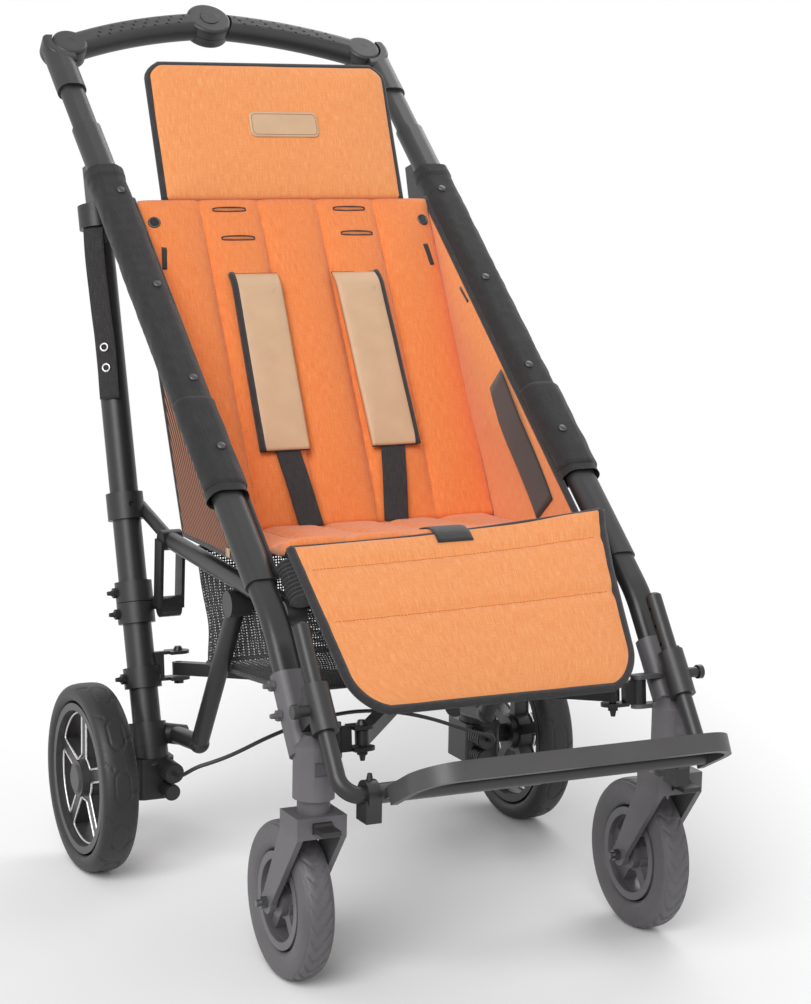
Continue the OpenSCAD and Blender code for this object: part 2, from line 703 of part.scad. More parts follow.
// the plate's right end stands beside the clamp foot
plate_shift = plate_w / 2 - (ring_x - block_t / 2 - plate_gap);
module plate_outline(inset) {
  half = plate_w / 2 - inset;
  round = plate_corner - inset;
  translate([-half, plate_start]) square([2 * half, plate_depth - inset - round - plate_start]);
  translate([round - half, plate_start]) square([2 * (half - round), plate_depth - inset - plate_start]);
  for (end = [-1, 1]) translate([end * (half - round), plate_depth - inset - round]) circle(r = round);
}
cross_d = 18;
module footplate() color("dimgray") centred()
  translate([0, bend_y - hang_down * sin(lean_low) - hang_off * cos(lean_low),
    bend_z - hang_down * cos(lean_low) + hang_off * sin(lean_low)])
      rotate([-plate_tilt, 0, 0]) mirror([0, 1, 0]) {
    tube_start = -ring_x + max(ring_w, block_t) / 2 + run;
    difference() {
      union() {
        translate([plate_shift, 0, deck_rise - plate_t]) linear_extrude(plate_t) plate_outline(rim_t / 2);
        translate([plate_shift, 0, deck_rise - rim_h]) linear_extrude(rim_h) difference() {
          plate_outline(0);
          plate_outline(rim_t);
          translate([-plate_w / 2 + rim_t, plate_start - over])
            square([plate_w - 2 * rim_t, rim_t + over]);
        }
        translate([tube_start, 0, 0]) rotate([0, 90, 0])
          cylinder(d = pivot_tube_d, h = tube_end_x - tube_start);
        // webs from the pivot tube to the deck
        for (place = [tube_start + rim_t, (tube_start + tube_end_x) / 2, tube_end_x - rim_t])
          translate([place - rim_t / 2, 0, deck_rise - rim_h / 2])
            cube([rim_t, plate_start + rim_t * 2, rim_h / 2]);
        // cross bar beneath the deck
        translate([plate_shift - plate_w / 2 + rim_t / 2, plate_start + cross_d, deck_rise - plate_t / 2
          - cross_d / 2])
          rotate([0, 90, 0]) cylinder(d = cross_d, h = plate_w - rim_t);
      }
      translate([-plate_w, 0, 0]) rotate([0, 90, 0])
        cylinder(d = hanger_d + 2 * pin_fit, h = 2 * plate_w);
    }
  }

// wheels: turned about X, drawn at the origin
spoke_count = 5;
spoke_w = 13;
tyre_wall_share = 0.19;
rim_wall = 9;
wheel_cap_d = 38;
cap_rise = 3;
lip_w = 3;
// a tyre with a flat tread and rounded shoulders
module tyre_ring(outer_d, inner_d, width) rotate([0, 90, 0]) rotate_extrude($fn = 128) {
  shoulder = (outer_d - inner_d) / 4;
  translate([inner_d / 2, -width / 2]) square([(outer_d - inner_d) / 2 - shoulder, width]);
  translate([inner_d / 2, shoulder - width / 2]) square([(outer_d - inner_d) / 2, width - 2 * shoulder]);
  for (end = [-1, 1]) translate([outer_d / 2 - shoulder, end * (width / 2 - shoulder)])
    circle(r = shoulder);
}
module spoked_rim(outer_d, hub_d, hub_w, rim_w, web_t, bore_d) rotate([0, 90, 0]) difference() {
  union() {
    translate([0, 0, -rim_w / 2]) pipe(outer_d, outer_d - 2 * rim_wall, rim_w);
    translate([0, 0, -hub_w / 2]) cylinder(d = hub_d, h = hub_w);
    difference() {
      translate([0, 0, -web_t / 2]) cylinder(d = outer_d - rim_wall, h = web_t);
      for (spoke = [0 : spoke_count - 1]) rotate(spoke * 360 / spoke_count) translate([0, 0, -web_t])
        linear_extrude(2 * web_t) intersection() {
          ring(outer_d - 2 * rim_wall - lip_w, hub_d + 2 * lip_w);
          half = 180 / spoke_count;
          polygon([[spoke_w / 2 / sin(half), 0],
            [spoke_w / 2 / sin(half) + outer_d * cos(half), outer_d * sin(half)],
            [spoke_w / 2 / sin(half) + outer_d * cos(half), -outer_d * sin(half)]]);
        }
    }
  }
  translate([0, 0, -hub_w]) cylinder(d = bore_d, h = 2 * hub_w);
}
front_r = front_wheel_d / 2;
front_inner_d = front_wheel_d * (1 - 2 * tyre_wall_share);
front_hub_d = 36;
front_hub_w = 34;
caster_axle_d = 8;
wheel_y = stem_y + caster_trail;
module at_caster() translate([caster_x, wheel_y, front_r]) children();
module caster_tyre(hand) color("black") side(hand) at_caster()
  tyre_ring(front_wheel_d, front_inner_d, front_tyre_w);
module caster_wheel(hand) color("gray") side(hand) at_caster()
  spoked_rim(front_inner_d - 2 * fit, front_hub_d, front_hub_w, front_tyre_w - 2 * lip_w, front_hub_w / 2,
    caster_axle_d + 2 * pin_fit);

leg_t = 7;
leg_gap = 3;
leg_x = front_tyre_w / 2 + leg_gap;
boss_d = 26;
crown_d = 48;
crown_h = 24;
neck_d = 36;
nut_h = 7;
nut_d = 14;
axle_over = 12;
// caster fork with its crown and kingpin
module fork_leg() rotate([90, 0, 90]) linear_extrude(leg_t) {
  translate([wheel_y, front_r]) circle(d = boss_d);
  polygon([[wheel_y - boss_d / 2, front_r], [wheel_y + boss_d / 2, front_r],
    [stem_y + crown_d / 2, fork_top - crown_h], [stem_y + crown_d / 2, fork_top],
    [stem_y - crown_d / 2, fork_top], [stem_y - crown_d / 2, fork_top - crown_h]]);
}
module caster_fork(hand) color("dimgray") side(hand) difference() {
  union() {
    for (end = [-1, 1]) translate([caster_x + end * (leg_x + leg_t / 2) - leg_t / 2, 0, 0]) fork_leg();
    translate([caster_x, stem_y, fork_top - crown_h]) linear_extrude(crown_h)
      square([2 * leg_x + leg_t, crown_d], center = true);
    translate([caster_x, stem_y, fork_top]) cylinder(d = neck_d, h = cast_bottom - run - fork_top);
    translate([caster_x, stem_y, fork_top]) cylinder(d = kingpin_d, h = cast_bottom + kingpin_len
      - run - fork_top);
  }
  // room for the tyre
  translate([caster_x, wheel_y, front_r]) rotate([0, 90, 0])
    cylinder(d = front_wheel_d + 2 * leg_gap, h = 2 * leg_x, center = true);
  translate([caster_x, wheel_y, front_r]) rotate([0, 90, 0])
    cylinder(d = caster_axle_d + 2 * fit, h = 4 * leg_x, center = true);
  // seat of the swivel lock
  lock_pin_bore();
}
lock_len = 26;
lock_w = 22;
lock_t = 5;
lock_ear = 12;
module at_lock() translate([caster_x, stem_y - crown_d / 2 - lock_ear / 2, fork_top
  - crown_h / 2]) children();
module lock_pin_bore() at_lock() translate([0, lock_ear / 2, 0]) rotate([0, 90, 0])
  cylinder(d = lock_ear + 2 * run, h = lock_w + 2 * run, center = true);
module swivel_lock(hand) color("black") side(hand) at_lock() translate([0, lock_ear / 2, 0]) {
  rotate([0, 90, 0]) cylinder(d = lock_ear, h = lock_w, center = true);
  translate([-lock_w / 2, -lock_len, -lock_t / 2]) cube([lock_w, lock_len, lock_t]);
}
// axle bolt with nuts that stand out on both sides
module caster_axle(hand) color("silver") side(hand) at_caster() rotate([0, 90, 0]) {
  cylinder(d = caster_axle_d, h = 2 * (leg_x + leg_t + axle_over), center = true);
  for (end = [-1, 1]) translate([0, 0, end * (leg_x + leg_t + nut_h / 2 + fit)])
    cylinder(d = nut_d, h = nut_h, center = true, $fn = 6);
  // spacers between the hub and the fork legs
  for (end = [-1, 1]) translate([0, 0, end * (leg_x + front_hub_w / 2 + run) / 2])
    cylinder(d = 2 * caster_axle_d, h = leg_x - front_hub_w / 2 - run - fit, center = true);
}

rear_tyre_wall_share = 0.1;
rear_inner_d = rear_wheel_d * (1 - 2 * rear_tyre_wall_share);
rear_hub_d = 46;
module at_rear_wheel() translate([rear_wheel_x, axle_y, rear_r]) children();
module rear_tyre(hand) color("black") side(hand) at_rear_wheel()
  tyre_ring(rear_wheel_d, rear_inner_d, rear_tyre_w);
module rear_wheel(hand) color("gray") side(hand) at_rear_wheel() {
  spoked_rim(rear_inner_d - 2 * fit, rear_hub_d, rear_hub_w, rear_tyre_w - 2 * lip_w, rear_hub_w / 2,
    axle_d + 2 * pin_fit);
  translate([rear_hub_w / 2 + fit, 0, 0]) rotate([0, 90, 0])
    cylinder(d1 = wheel_cap_d, d2 = wheel_cap_d - 2 * cap_rise, h = cap_rise);
}

// foot pedal of the brake, behind the right housing
pedal_w = 46;
pedal_len = 54;
pedal_t = 8;
pedal_pin_d = 14;
pedal_drop = 8;
module brake_pedal() color("firebrick") side(-1)
  translate([side_x, (rear_foot_y + axle_y) / 2 + house_l / 2 + pedal_pin_d / 2 + run, rear_r
    - pedal_drop]) {
    rotate([0, 90, 0]) cylinder(d = pedal_pin_d, h = pedal_w, center = true);
    translate([-pedal_w / 2, 0, -pedal_t / 2]) cube([pedal_w, pedal_len, pedal_t]);
  }

// soft goods: closed skins whose faces come from a formula over a grid, u across and v along
function skin_points(nu, nv, f) = [for (face = [1, -1], i = [0 : nu], j = [0
  : nv]) f(i / nu, j / nv, face)];
function skin_faces(nu, nv) = let (w = nv + 1, n = (nu + 1) * w) concat(
  [for (i = [0 : nu - 1], j = [0 : nv - 1]) [i * w + j, i * w + j + 1, (i + 1) * w + j]],
  [for (i = [0 : nu - 1], j = [0 : nv - 1]) [i * w + j + 1, (i + 1) * w + j + 1, (i + 1) * w + j]],
  [for (i = [0 : nu - 1], j = [0 : nv - 1]) [n + i * w + j, n + (i + 1) * w + j, n + i * w + j + 1]],
  [for (i = [0 : nu - 1], j = [0 : nv - 1]) [n + i * w + j + 1, n + (i + 1) * w + j, n + (i + 1) * w
    + j + 1]],
  [for (i = [0 : nu - 1], k = [0, nv]) k == 0 ? [i * w, (i + 1) * w, n + i * w] : [i * w + nv, n + i
    * w + nv, (i + 1) * w + nv]],
  [for (i = [0 : nu - 1], k = [0, nv]) k == 0 ? [(i + 1) * w, n + (i + 1) * w, n + i * w]
    : [(i + 1) * w + nv, n + i * w + nv, n + (i + 1) * w + nv]],
  [for (j = [0 : nv - 1], k = [0, nu]) k == 0 ? [j, n + j, j + 1] : [nu * w + j, nu * w + j + 1, n
    + nu * w + j]],
  [for (j = [0 : nv - 1], k = [0, nu]) k == 0 ? [j + 1, n + j, n + j + 1]
    : [nu * w + j + 1, n + nu * w + j + 1, n + nu * w + j]]);
module skin(nu, nv, f) polyhedron(skin_points(nu, nv, f), skin_faces(nu, nv), convexity = 4);

edge_half = 3;
crown_share = 0.45;
channel_share = 0.35;
// half thickness of a crowned pad: drawn in at the rim, swelling inwards
function crown(u, v, half) = let (e = min(min(u, 1 - u), min(v, 1 - v)) / crown_share)
  edge_half + (half - edge_half) * (e >= 1 ? 1 : sqrt(1 - (1 - e) * (1 - e)));
// sewn channels: count of them across the pad
channel_power = 6;
function channel(t, count) = 1 - channel_share * pow(abs(cos(180 * t * count)), channel_power);

// seat sling with its rolled front edge
panel_t = 6;
cover_t = 2;
panel_out = side_x - main_width / 2 - cover_t - 2 * soft_gap;
panel_in = panel_out - panel_t;
seat_back_y = -262;
seat_front_y = -542.4;
seat_back_z = 433;
seat_rise = 34;
seat_half = panel_in - soft_gap;
roll_extra = 9;
roll_share = 0.82;
roll_power = 12;
seat_channels = 5;
seat_grid = [20, 16];
function seat_roll(v) = roll_extra * max(0, (v - roll_share) / (1 - roll_share))
  * sqrt(max(0, 1 - pow(2 * v - 1, roll_power)));
function seat_face(u, v, face) = let (half = crown(u, v, pad_thick / 2) * channel(u, seat_channels)
  + seat_roll(v))
  [(2 * u - 1) * seat_half, seat_back_y + v * (seat_front_y - seat_back_y),
    seat_back_z + seat_rise * v * v + face * half];
module seat_pad() color("orange") centred()
  skin(seat_grid[0], seat_grid[1], function (u, v, face) seat_face(u, v, face));

// calf flap below the seat's front edge
calf_top_y = -545;
calf_top_z = 470;
calf_len = 212;
calf_lean = 42;
calf_top_half = 198;
calf_bottom_half = 172;
calf_corner = 46;
calf_half_thick = pad_thick / 3;
calf_round_share = 0.92;
calf_seam_shares = [0.15, 0.47];
calf_seam_power = 24;
calf_grid = [16, 24];
function calf_seam(v, place) = exp(-pow((v - place) * calf_seam_power, 2));
function calf_width(v) = let (d = max(0, v * calf_len - calf_len + calf_corner))
  calf_top_half + (calf_bottom_half - calf_top_half) * v - calf_corner
    + sqrt(calf_corner * calf_corner - d * d * calf_round_share);
function calf_face(u, v, face) = let (
    seams = calf_seam(v, calf_seam_shares[0]) + calf_seam(v, calf_seam_shares[1]),
    half = crown(u, v, calf_half_thick) * (1 - channel_share * seams),
    down = v * calf_len)
  [(2 * u - 1) * calf_width(v), calf_top_y - down * sin(calf_lean) - face * half * cos(calf_lean),
    calf_top_z - down * cos(calf_lean) + face * half * sin(calf_lean)];
module calf_pad() color("orange") centred()
  skin(calf_grid[0], calf_grid[1], function (u, v, face) calf_face(u, v, face));

// back pad with sewn channels, and the head pad above it
back_foot_y = -262;
back_foot_z = 452;
back_lean = 29;
back_len = 425;
back_half = panel_in - soft_gap;
back_thick = 22;
back_channels = 5;
back_grid = [30, 14];
head_grid = [14, 12];
function back_face(u, v, face) = let (
    half = crown(u, v, back_thick / 2) * channel(u, back_channels), up = v * back_len)
  [(2 * u - 1) * back_half, back_foot_y + up * sin(back_lean) - face * half * cos(back_lean),
    back_foot_z + up * cos(back_lean) + face * half * sin(back_lean)];
module back_pad() color("orange") centred()
  skin(back_grid[0], back_grid[1], function (u, v, face) back_face(u, v, face));

head_lean = 20;
head_len = 178;
head_round_share = 0.93;
head_foot_y = back_foot_y + (back_len + 2 * soft_gap) * sin(back_lean);
head_foot_z = back_foot_z + (back_len + 2 * soft_gap) * cos(back_lean);
function head_width(v) = let (e = max(0, v - head_round_share) / (1 - head_round_share))
  head_w / 2 * (1 - e * e * (1 - head_round_share));
function head_face(u, v, face) = let (half = crown(u, v, back_thick / 2), up = v * head_len)
  [(2 * u - 1) * head_width(v),
    head_foot_y + up * sin(head_lean) - face * half * cos(head_lean),
    head_foot_z + up * cos(head_lean) + face * half * sin(head_lean)];
module head_pad() color("orange") centred()
  skin(head_grid[0], head_grid[1], function (u, v, face) head_face(u, v, face));

// side panel between the front tube and the back pad
panel_top_up = 690;
panel_low_up = 76;
panel_back_z = 430;
panel_back_share = 0.9;
module side_panel(hand) color("orange") side(hand) translate([panel_in, 0, 0])
  rotate([90, 0, 90]) linear_extrude(panel_t)
  polygon([[bend_y + panel_top_up * sin(lean_up), bend_z + panel_top_up * cos(lean_up)],
    [bend_y + panel_low_up * sin(lean_up), bend_z + panel_low_up * cos(lean_up)],
    [bend_y + panel_low_up * sin(lean_up), panel_back_z],
    [back_foot_y + back_thick, panel_back_z],
    [back_foot_y + panel_back_share * back_len * sin(back_lean),
      back_foot_z + panel_back_share * back_len * cos(back_lean)]]);

// fabric cover round the front tube, with a snapped flap near its lower end
cover_low = 185;
cover_top = 738;
snap_d = 12;
snap_h = 1.5;
snap_shares = [0.04, 0.37, 0.68, 0.96];
cover_bore = fit * 2;
module tube_cover(hand) color("black") side(hand) {
  on_upper(cover_low) linear_extrude(cover_top - cover_low) difference() {
    flat_oval(main_width + 2 * (cover_t + cover_bore), main_depth + 2 * (cover_t + cover_bore));
    flat_oval(main_width + 2 * cover_bore, main_depth + 2 * cover_bore);
  }
  for (place = snap_shares) on_upper(cover_low + place * (cover_top - cover_low))
    translate([0, -main_depth / 2 - cover_t - cover_bore, 0]) bore_y(snap_d, 2 * snap_h);
}

// net basket below the seat
basket_back_y = -196;
basket_front_y = -566;
basket_top_z = 404;
basket_wall = 3;
basket_half = rail_x - rail_d / 2 - link_gap - soft_gap;
basket_rake = 44;
basket_front_lift = 30;
module basket_side(inset) polygon([[basket_back_y - inset, basket_top_z + inset],
  [basket_back_y - basket_rake - inset, basket_top_z - basket_drop - basket_front_lift + inset],
  [basket_front_y + basket_rake + inset, basket_top_z - basket_drop + inset],
  [basket_front_y + inset, basket_top_z + inset]]);
module basket() color("black") centred() difference() {
  translate([-basket_half, 0, 0]) rotate([90, 0, 90]) linear_extrude(2 * basket_half) basket_side(0);
  translate([basket_wall - basket_half, 0, 0]) rotate([90, 0, 90])
    linear_extrude(2 * (basket_half - basket_wall))
    basket_side(basket_wall);
}

// shoulder pads and webbing on the back pad
strap_x = 72;
shoulder_w = 60;
shoulder_t = 10;
shoulder_len = 240;
shoulder_up = 76;
web_w_soft = 38;
web_t = 3;
web_low = 14;
module on_back(up) translate([0, back_foot_y, back_foot_z]) rotate([-back_lean, 0, 0])
  translate([0, -back_thick / 2 - soft_gap, up]) children();
module harness() color("tan") centred() for (hand = [-1, 1]) on_back(0)
  translate([hand * strap_x, 0, 0]) {
  translate([0, 0, shoulder_up]) rotate([90, 0, 0]) linear_extrude(shoulder_t) {
    translate([-shoulder_w / 2, shoulder_w / 4]) square([shoulder_w, shoulder_len - shoulder_w / 2]);
    translate([-shoulder_w / 4, 0]) square([shoulder_w / 2, shoulder_len]);
    for (cx = [-1, 1], cy = [shoulder_w / 4, shoulder_len - shoulder_w / 4])
      translate([cx * shoulder_w / 4, cy]) circle(r = shoulder_w / 4);
  }
  translate([-web_w_soft / 2, -shoulder_t / 2 - web_t / 2, web_low])
    cube([web_w_soft, web_t, shoulder_up]);
}

// webbing that hangs on the right rear tube, with two eyelets
hang_strap_w = 26;
hang_strap_t = 2.5;
hang_strap_len = 219;
hang_strap_room = 3;
hang_strap_low = rear_len - top_sleeve_len - hang_strap_room - hang_strap_len;
eyelet_d = 9;
eyelet_shares = [0.18, 0.3];
loop_h = 30;
module fold_strap() color("black") side(-1) {
  on_rear(hang_strap_low) translate([rear_d / 2 + soft_gap, 0, 0]) difference() {
    translate([0, -hang_strap_w / 2, 0]) cube([hang_strap_t, hang_strap_w, hang_strap_len]);
    for (place = eyelet_shares) translate([0, 0, hang_strap_len * place]) rotate([0, 90, 0])
      cylinder(d = eyelet_d, h = 3 * hang_strap_t, center = true);
  }
  on_rear(hang_strap_low + hang_strap_len - loop_h)
    pipe(rear_d + 2 * (soft_gap + hang_strap_t), rear_d + 2 * soft_gap, loop_h);
}

// brake cable between the two housings, clipped under the struts
cable_d = 5;
cable_sides = 8;
cable_half = [[217.5, -239.8, 130.5], [217.5, -246, 130.8], [217, -253, 133], [214.5, -259.5, 138],
  [210.5, -265, 145.5], [205.5, -269.3, 154], [198, -272, 160.1], [186, -275.5, 164], [170, -281, 168.5],
  [150, -285, 174], [120, -288.5, 183], [90, -291, 190.5], [60, -292.5, 196.5], [30, -293, 200.5]];
cable_mid = [[0, -293, 202]];
cable_route = concat([for (p = cable_half) [-p[0], p[1], p[2]]], cable_mid,
  [for (i = [len(cable_half) - 1 : -1 : 0]) cable_half[i]]);
function unit(p) = p / norm(p);
function cable_dir(i) = unit(cable_route[min(i + 1, len(cable_route) - 1)] - cable_route[max(i - 1, 0)]);
function cable_ring(i) = let (d = cable_dir(i), a = unit(cross(d, [0, 0, 1])), b = cross(a, d))
  [for (k = [0 : cable_sides - 1]) cable_route[i] + cable_d / 2 * (cos(k * 360 / cable_sides) * a
    + sin(k * 360 / cable_sides) * b)];
module brake_cable() color("black") centred() {
  rings = len(cable_route);
  points = [for (i = [0 : rings - 1]) each cable_ring(i)];
  polyhedron(points, concat([[for (k = [0 : cable_sides - 1]) cable_sides - 1 - k]],
    [[for (k = [0 : cable_sides - 1]) (rings - 1) * cable_sides + k]],
    [for (i = [0 : rings - 2], k = [0 : cable_sides - 1])
      [i * cable_sides + k, i * cable_sides + (k + 1) % cable_sides, (i + 1) * cable_sides + k]],
    [for (i = [0 : rings - 2], k = [0 : cable_sides - 1])
      [i * cable_sides + (k + 1) % cable_sides, (i + 1) * cable_sides + (k + 1) % cable_sides, (i
        + 1) * cable_sides + k]]));
}

main_tube(-1);  // right_main_tube
main_tube(1);  // left_main_tube
lower_tube(-1);  // right_lower_tube
lower_tube(1);  // left_lower_tube
handle_corner(-1);  // right_handle_corner
handle_corner(1);  // left_handle_corner
leg_casting(-1);  // right_leg_casting
leg_casting(1);  // left_leg_casting
rear_tube(-1);  // right_rear_tube
rear_tube(1);  // left_rear_tube
collars(-1);  // right_collars
collars(1);  // left_collars
seat_rail(-1);  // right_seat_rail
seat_rail(1);  // left_seat_rail
strut(-1);  // right_strut
strut(1);  // left_strut
axle_housing(-1);  // right_axle_housing
axle_housing(1);  // left_axle_housing
hanger_clamp(-1);  // right_hanger_clamp
hanger_clamp(1);  // left_hanger_clamp
side_panel(-1);  // right_side_panel
side_panel(1);  // left_side_panel
tube_cover(-1);  // right_tube_cover
tube_cover(1);  // left_tube_cover
front_arm(-1);  // right_front_arm
front_arm(1);  // left_front_arm
rear_arm(-1);  // right_rear_arm
rear_arm(1);  // left_rear_arm
hanger(-1);  // right_hanger
hanger(1);  // left_hanger
caster_fork(-1);  // right_caster_fork
caster_fork(1);  // left_caster_fork
caster_axle(-1);  // right_caster_axle
caster_axle(1);  // left_caster_axle
caster_wheel(-1);  // right_caster_wheel
caster_wheel(1);  // left_caster_wheel
caster_tyre(-1);  // right_caster_tyre
caster_tyre(1);  // left_caster_tyre
swivel_lock(-1);  // right_swivel_lock
swivel_lock(1);  // left_swivel_lock
rear_wheel(-1);  // right_rear_wheel
rear_wheel(1);  // left_rear_wheel
rear_tyre(-1);  // right_rear_tyre
rear_tyre(1);  // left_rear_tyre
grip(-1);  // right_grip
grip(1);  // left_grip
handle_button();
upper_bar();
lower_bar();
footplate();
brake_pedal();
seat_pad();
back_pad();
head_pad();
calf_pad();
basket();
harness();
fold_strap();
brake_cable();
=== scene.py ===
from math import atan2, cos, exp, pi, radians, sin, sqrt
import bmesh
import bpy
from mathutils import Matrix, Vector, noise


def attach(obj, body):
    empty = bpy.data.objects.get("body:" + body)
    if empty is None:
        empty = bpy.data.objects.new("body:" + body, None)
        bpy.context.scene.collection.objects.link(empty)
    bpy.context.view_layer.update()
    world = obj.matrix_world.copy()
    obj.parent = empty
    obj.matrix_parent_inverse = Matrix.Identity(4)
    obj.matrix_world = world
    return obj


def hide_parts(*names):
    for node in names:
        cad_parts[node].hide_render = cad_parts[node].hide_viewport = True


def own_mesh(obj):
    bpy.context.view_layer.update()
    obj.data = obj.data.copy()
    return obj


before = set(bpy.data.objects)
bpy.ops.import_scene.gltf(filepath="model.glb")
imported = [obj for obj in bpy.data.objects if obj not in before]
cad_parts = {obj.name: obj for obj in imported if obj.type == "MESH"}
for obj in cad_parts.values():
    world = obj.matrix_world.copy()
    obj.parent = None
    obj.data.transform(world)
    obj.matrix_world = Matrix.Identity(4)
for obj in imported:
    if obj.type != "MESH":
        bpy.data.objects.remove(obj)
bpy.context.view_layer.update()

shiftY = 303.67  # the CAD model's fore-and-aft shift in mm
hands = ((-1, "right"), (1, "left"))  # the sign of x on each side, and its name


# a point in metres from the CAD model's millimetres
def at(x, y, z):
    return Vector((x, y + shiftY, z)) / 1000


def between(a, b, share):
    return tuple(p + (q - p) * share for p, q in zip(a, b))


def turnsOf(count):
    return [2 * pi * k / count for k in range(count)]


def signedPower(x, power):
    return abs(x) ** power * (1 if x > 0 else -1)


def stageDone(words):
    print("buggy:", words)


# camera, found from the wheels and the tube ends in the picture
viewSet = {
    "place": (-1297, -3103, 1004), "aim": (0.43, 0.8866, -0.1704), "roll": 1.1,
    "lens": 113.28, "sensor": 36, "farthest": 60,
}


def setCamera(s):
    camData = bpy.data.cameras.new("photoCamera")
    camData.sensor_fit = "HORIZONTAL"
    camData.sensor_width = s["sensor"]
    camData.lens = s["lens"]
    camData.clip_end = s["farthest"]
    cam = bpy.data.objects.new("photoCamera", camData)
    bpy.context.scene.collection.objects.link(cam)
    forward = Vector(s["aim"]).normalized()
    right = forward.cross(Vector((0, 0, 1))).normalized()
    up = right.cross(forward)
    turn = radians(s["roll"])
    side = right * cos(turn) + up * sin(turn)
    top = up * cos(turn) - right * sin(turn)
    pose = Matrix((side, top, -forward)).transposed().to_4x4()
    pose.translation = at(*s["place"])
    cam.matrix_world = pose
    bpy.context.scene.camera = cam


setCamera(viewSet)
stageDone("camera set")


# small helpers for node materials
def link(a, b):
    a.id_data.links.new(a, b)


# a number or a colour is set, another node's output is linked
def feed(socket, value):
    if isinstance(value, (int, float, tuple)):
        socket.default_value = value
    else:
        link(value, socket)


def makeNode(tree, kind, **values):
    node = tree.nodes.new(kind)
    for key, value in values.items():
        setattr(node, key, value)
    return node


def setInputs(node, values):
    for key, value in values.items():
        feed(node.inputs[key], value)


def startMaterial(name, rough, metal=0.0):
    mat = bpy.data.materials.new(name)
    mat.use_nodes = True
    shader = mat.node_tree.nodes["Principled BSDF"]
    setInputs(shader, {"Roughness": rough, "Metallic": metal})
    return mat, mat.node_tree, shader


def coords(tree, space, scale=(1, 1, 1)):
    where = makeNode(tree, "ShaderNodeTexCoord")
    place = makeNode(tree, "ShaderNodeMapping")
    setInputs(place, {"Scale": scale, "Vector": where.outputs[space]})
    return place.outputs["Vector"]


def noiseAt(tree, space, scale, detail=2.0, stretch=(1, 1, 1)):
    tex = makeNode(tree, "ShaderNodeTexNoise")
    setInputs(tex, {"Scale": scale, "Detail": detail, "Vector": coords(tree, space, stretch)})
    return tex.outputs["Fac"]


def ramp(fac, stops):
    node = makeNode(fac.id_data, "ShaderNodeValToRGB")
    band = node.color_ramp
    while len(band.elements) < len(stops):
        band.elements.new(0.5)
    for element, (place, colour) in zip(band.elements, stops):
        element.position = place
        element.color = (*colour, 1)
    link(fac, node.inputs["Fac"])
    return node.outputs["Color"]


def maths(how, a, b):
    node = makeNode(a.id_data, "ShaderNodeMath", operation=how)
    feed(node.inputs[0], a)
    feed(node.inputs[1], b)
    return node.outputs[0]


def mixColours(tree, share, a, b, how="MIX"):
    mix = makeNode(tree, "ShaderNodeMix", data_type="RGBA", blend_type=how)
    setInputs(mix, {0: share, 6: a, 7: b})
    return mix.outputs[2]


def mixShaders(share, a, b, output):
    tree = share.id_data
    mix = makeNode(tree, "ShaderNodeMixShader")
    setInputs(mix, {0: share, 1: a.outputs[0], 2: b.outputs[0]})
    link(mix.outputs[0], tree.nodes[output].inputs["Surface"])


def addBump(shader, height, strength, distance):
    bump = makeNode(shader.id_data, "ShaderNodeBump")
    setInputs(bump, {"Strength": strength, "Distance": distance, "Height": height})
    link(bump.outputs["Normal"], shader.inputs["Normal"])


def scaled(colour, k):
    return tuple(min(1, c * k) for c in colour)


def toneRamp(fac, colour, low, high):
    return ramp(fac, [(0.3, scaled(colour, low)), (0.7, scaled(colour, high))])


# bands of thread across the UVs, which are in metres
def threadWave(tree, direction, pitch, distortion, detail):
    wave = makeNode(tree, "ShaderNodeTexWave", wave_type="BANDS", bands_direction=direction)
    setInputs(wave, {"Scale": 2 * pi / (20 * pitch), "Distortion": distortion, "Detail": detail})
    setInputs(wave, {"Vector": coords(tree, "UV")})
    return wave.outputs["Fac"]


# moulded plastic and powder coat: fine grain, cloudy tone, lighter worn edges
def coatedMaterial(name, colour, rough, grain, depth, wear):
    mat, tree, shader = startMaterial(name, rough)
    cloud = noiseAt(tree, "Object", 14, 4)
    base = toneRamp(cloud, colour, 0.86, 1.12)
    geometry = makeNode(tree, "ShaderNodeNewGeometry")
    edge = ramp(geometry.outputs["Pointiness"], [(0.52, (0, 0, 0)), (0.6, (1, 1, 1))])
    worn = mixColours(tree, maths("MULTIPLY", edge, wear), base, (*scaled(colour, 2.2), 1))
    fine = noiseAt(tree, "Object", grain, 3)
    setInputs(shader, {"Base Color": worn, "Roughness": toneRamp(fine, (rough,) * 3, 0.85, 1.15)})
    addBump(shader, fine, 0.35, depth)
    return mat


# woven cloth: crossing threads plus long melange streaks along the warp
def wovenMaterial(name, dark, mid, light, pitch, streak, rough=0.85, sheen=0.25, depth=0.0004):
    mat, tree, shader = startMaterial(name, rough)
    setInputs(shader, {"Sheen Weight": sheen, "Sheen Roughness": 0.5})
    waves = [threadWave(tree, direction, pitch, 0.6, 1) for direction in ("X", "Y")]
    weave = maths("MAXIMUM", *waves)
    warpStreak, weftStreak = (0.0013, 0.016), (0.01, 0.0015)  # width and height in metres
    warp = noiseAt(tree, "UV", 1, 4, (1 / warpStreak[0], 1 / warpStreak[1], 1))
    weft = noiseAt(tree, "UV", 1, 3, (1 / weftStreak[0], 1 / weftStreak[1], 1))
    tone = maths("ADD", maths("MULTIPLY", warp, 0.7), maths("MULTIPLY", weft, 0.3))
    spread = 0.5 - 0.28 * streak
    base = ramp(tone, [(spread, dark), (0.5, mid), (1 - spread, light)])
    shade = ramp(weave, [(0.0, (0.8,) * 3), (0.6, (1,) * 3)])
    setInputs(shader, {"Base Color": mixColours(tree, 1, base, shade, "MULTIPLY")})
    addBump(shader, weave, 0.5, depth)
    return mat


def threadMaterial(name, dark, mid, light):
    return wovenMaterial(name, dark, mid, light, pitch=0.0006, streak=0.3)


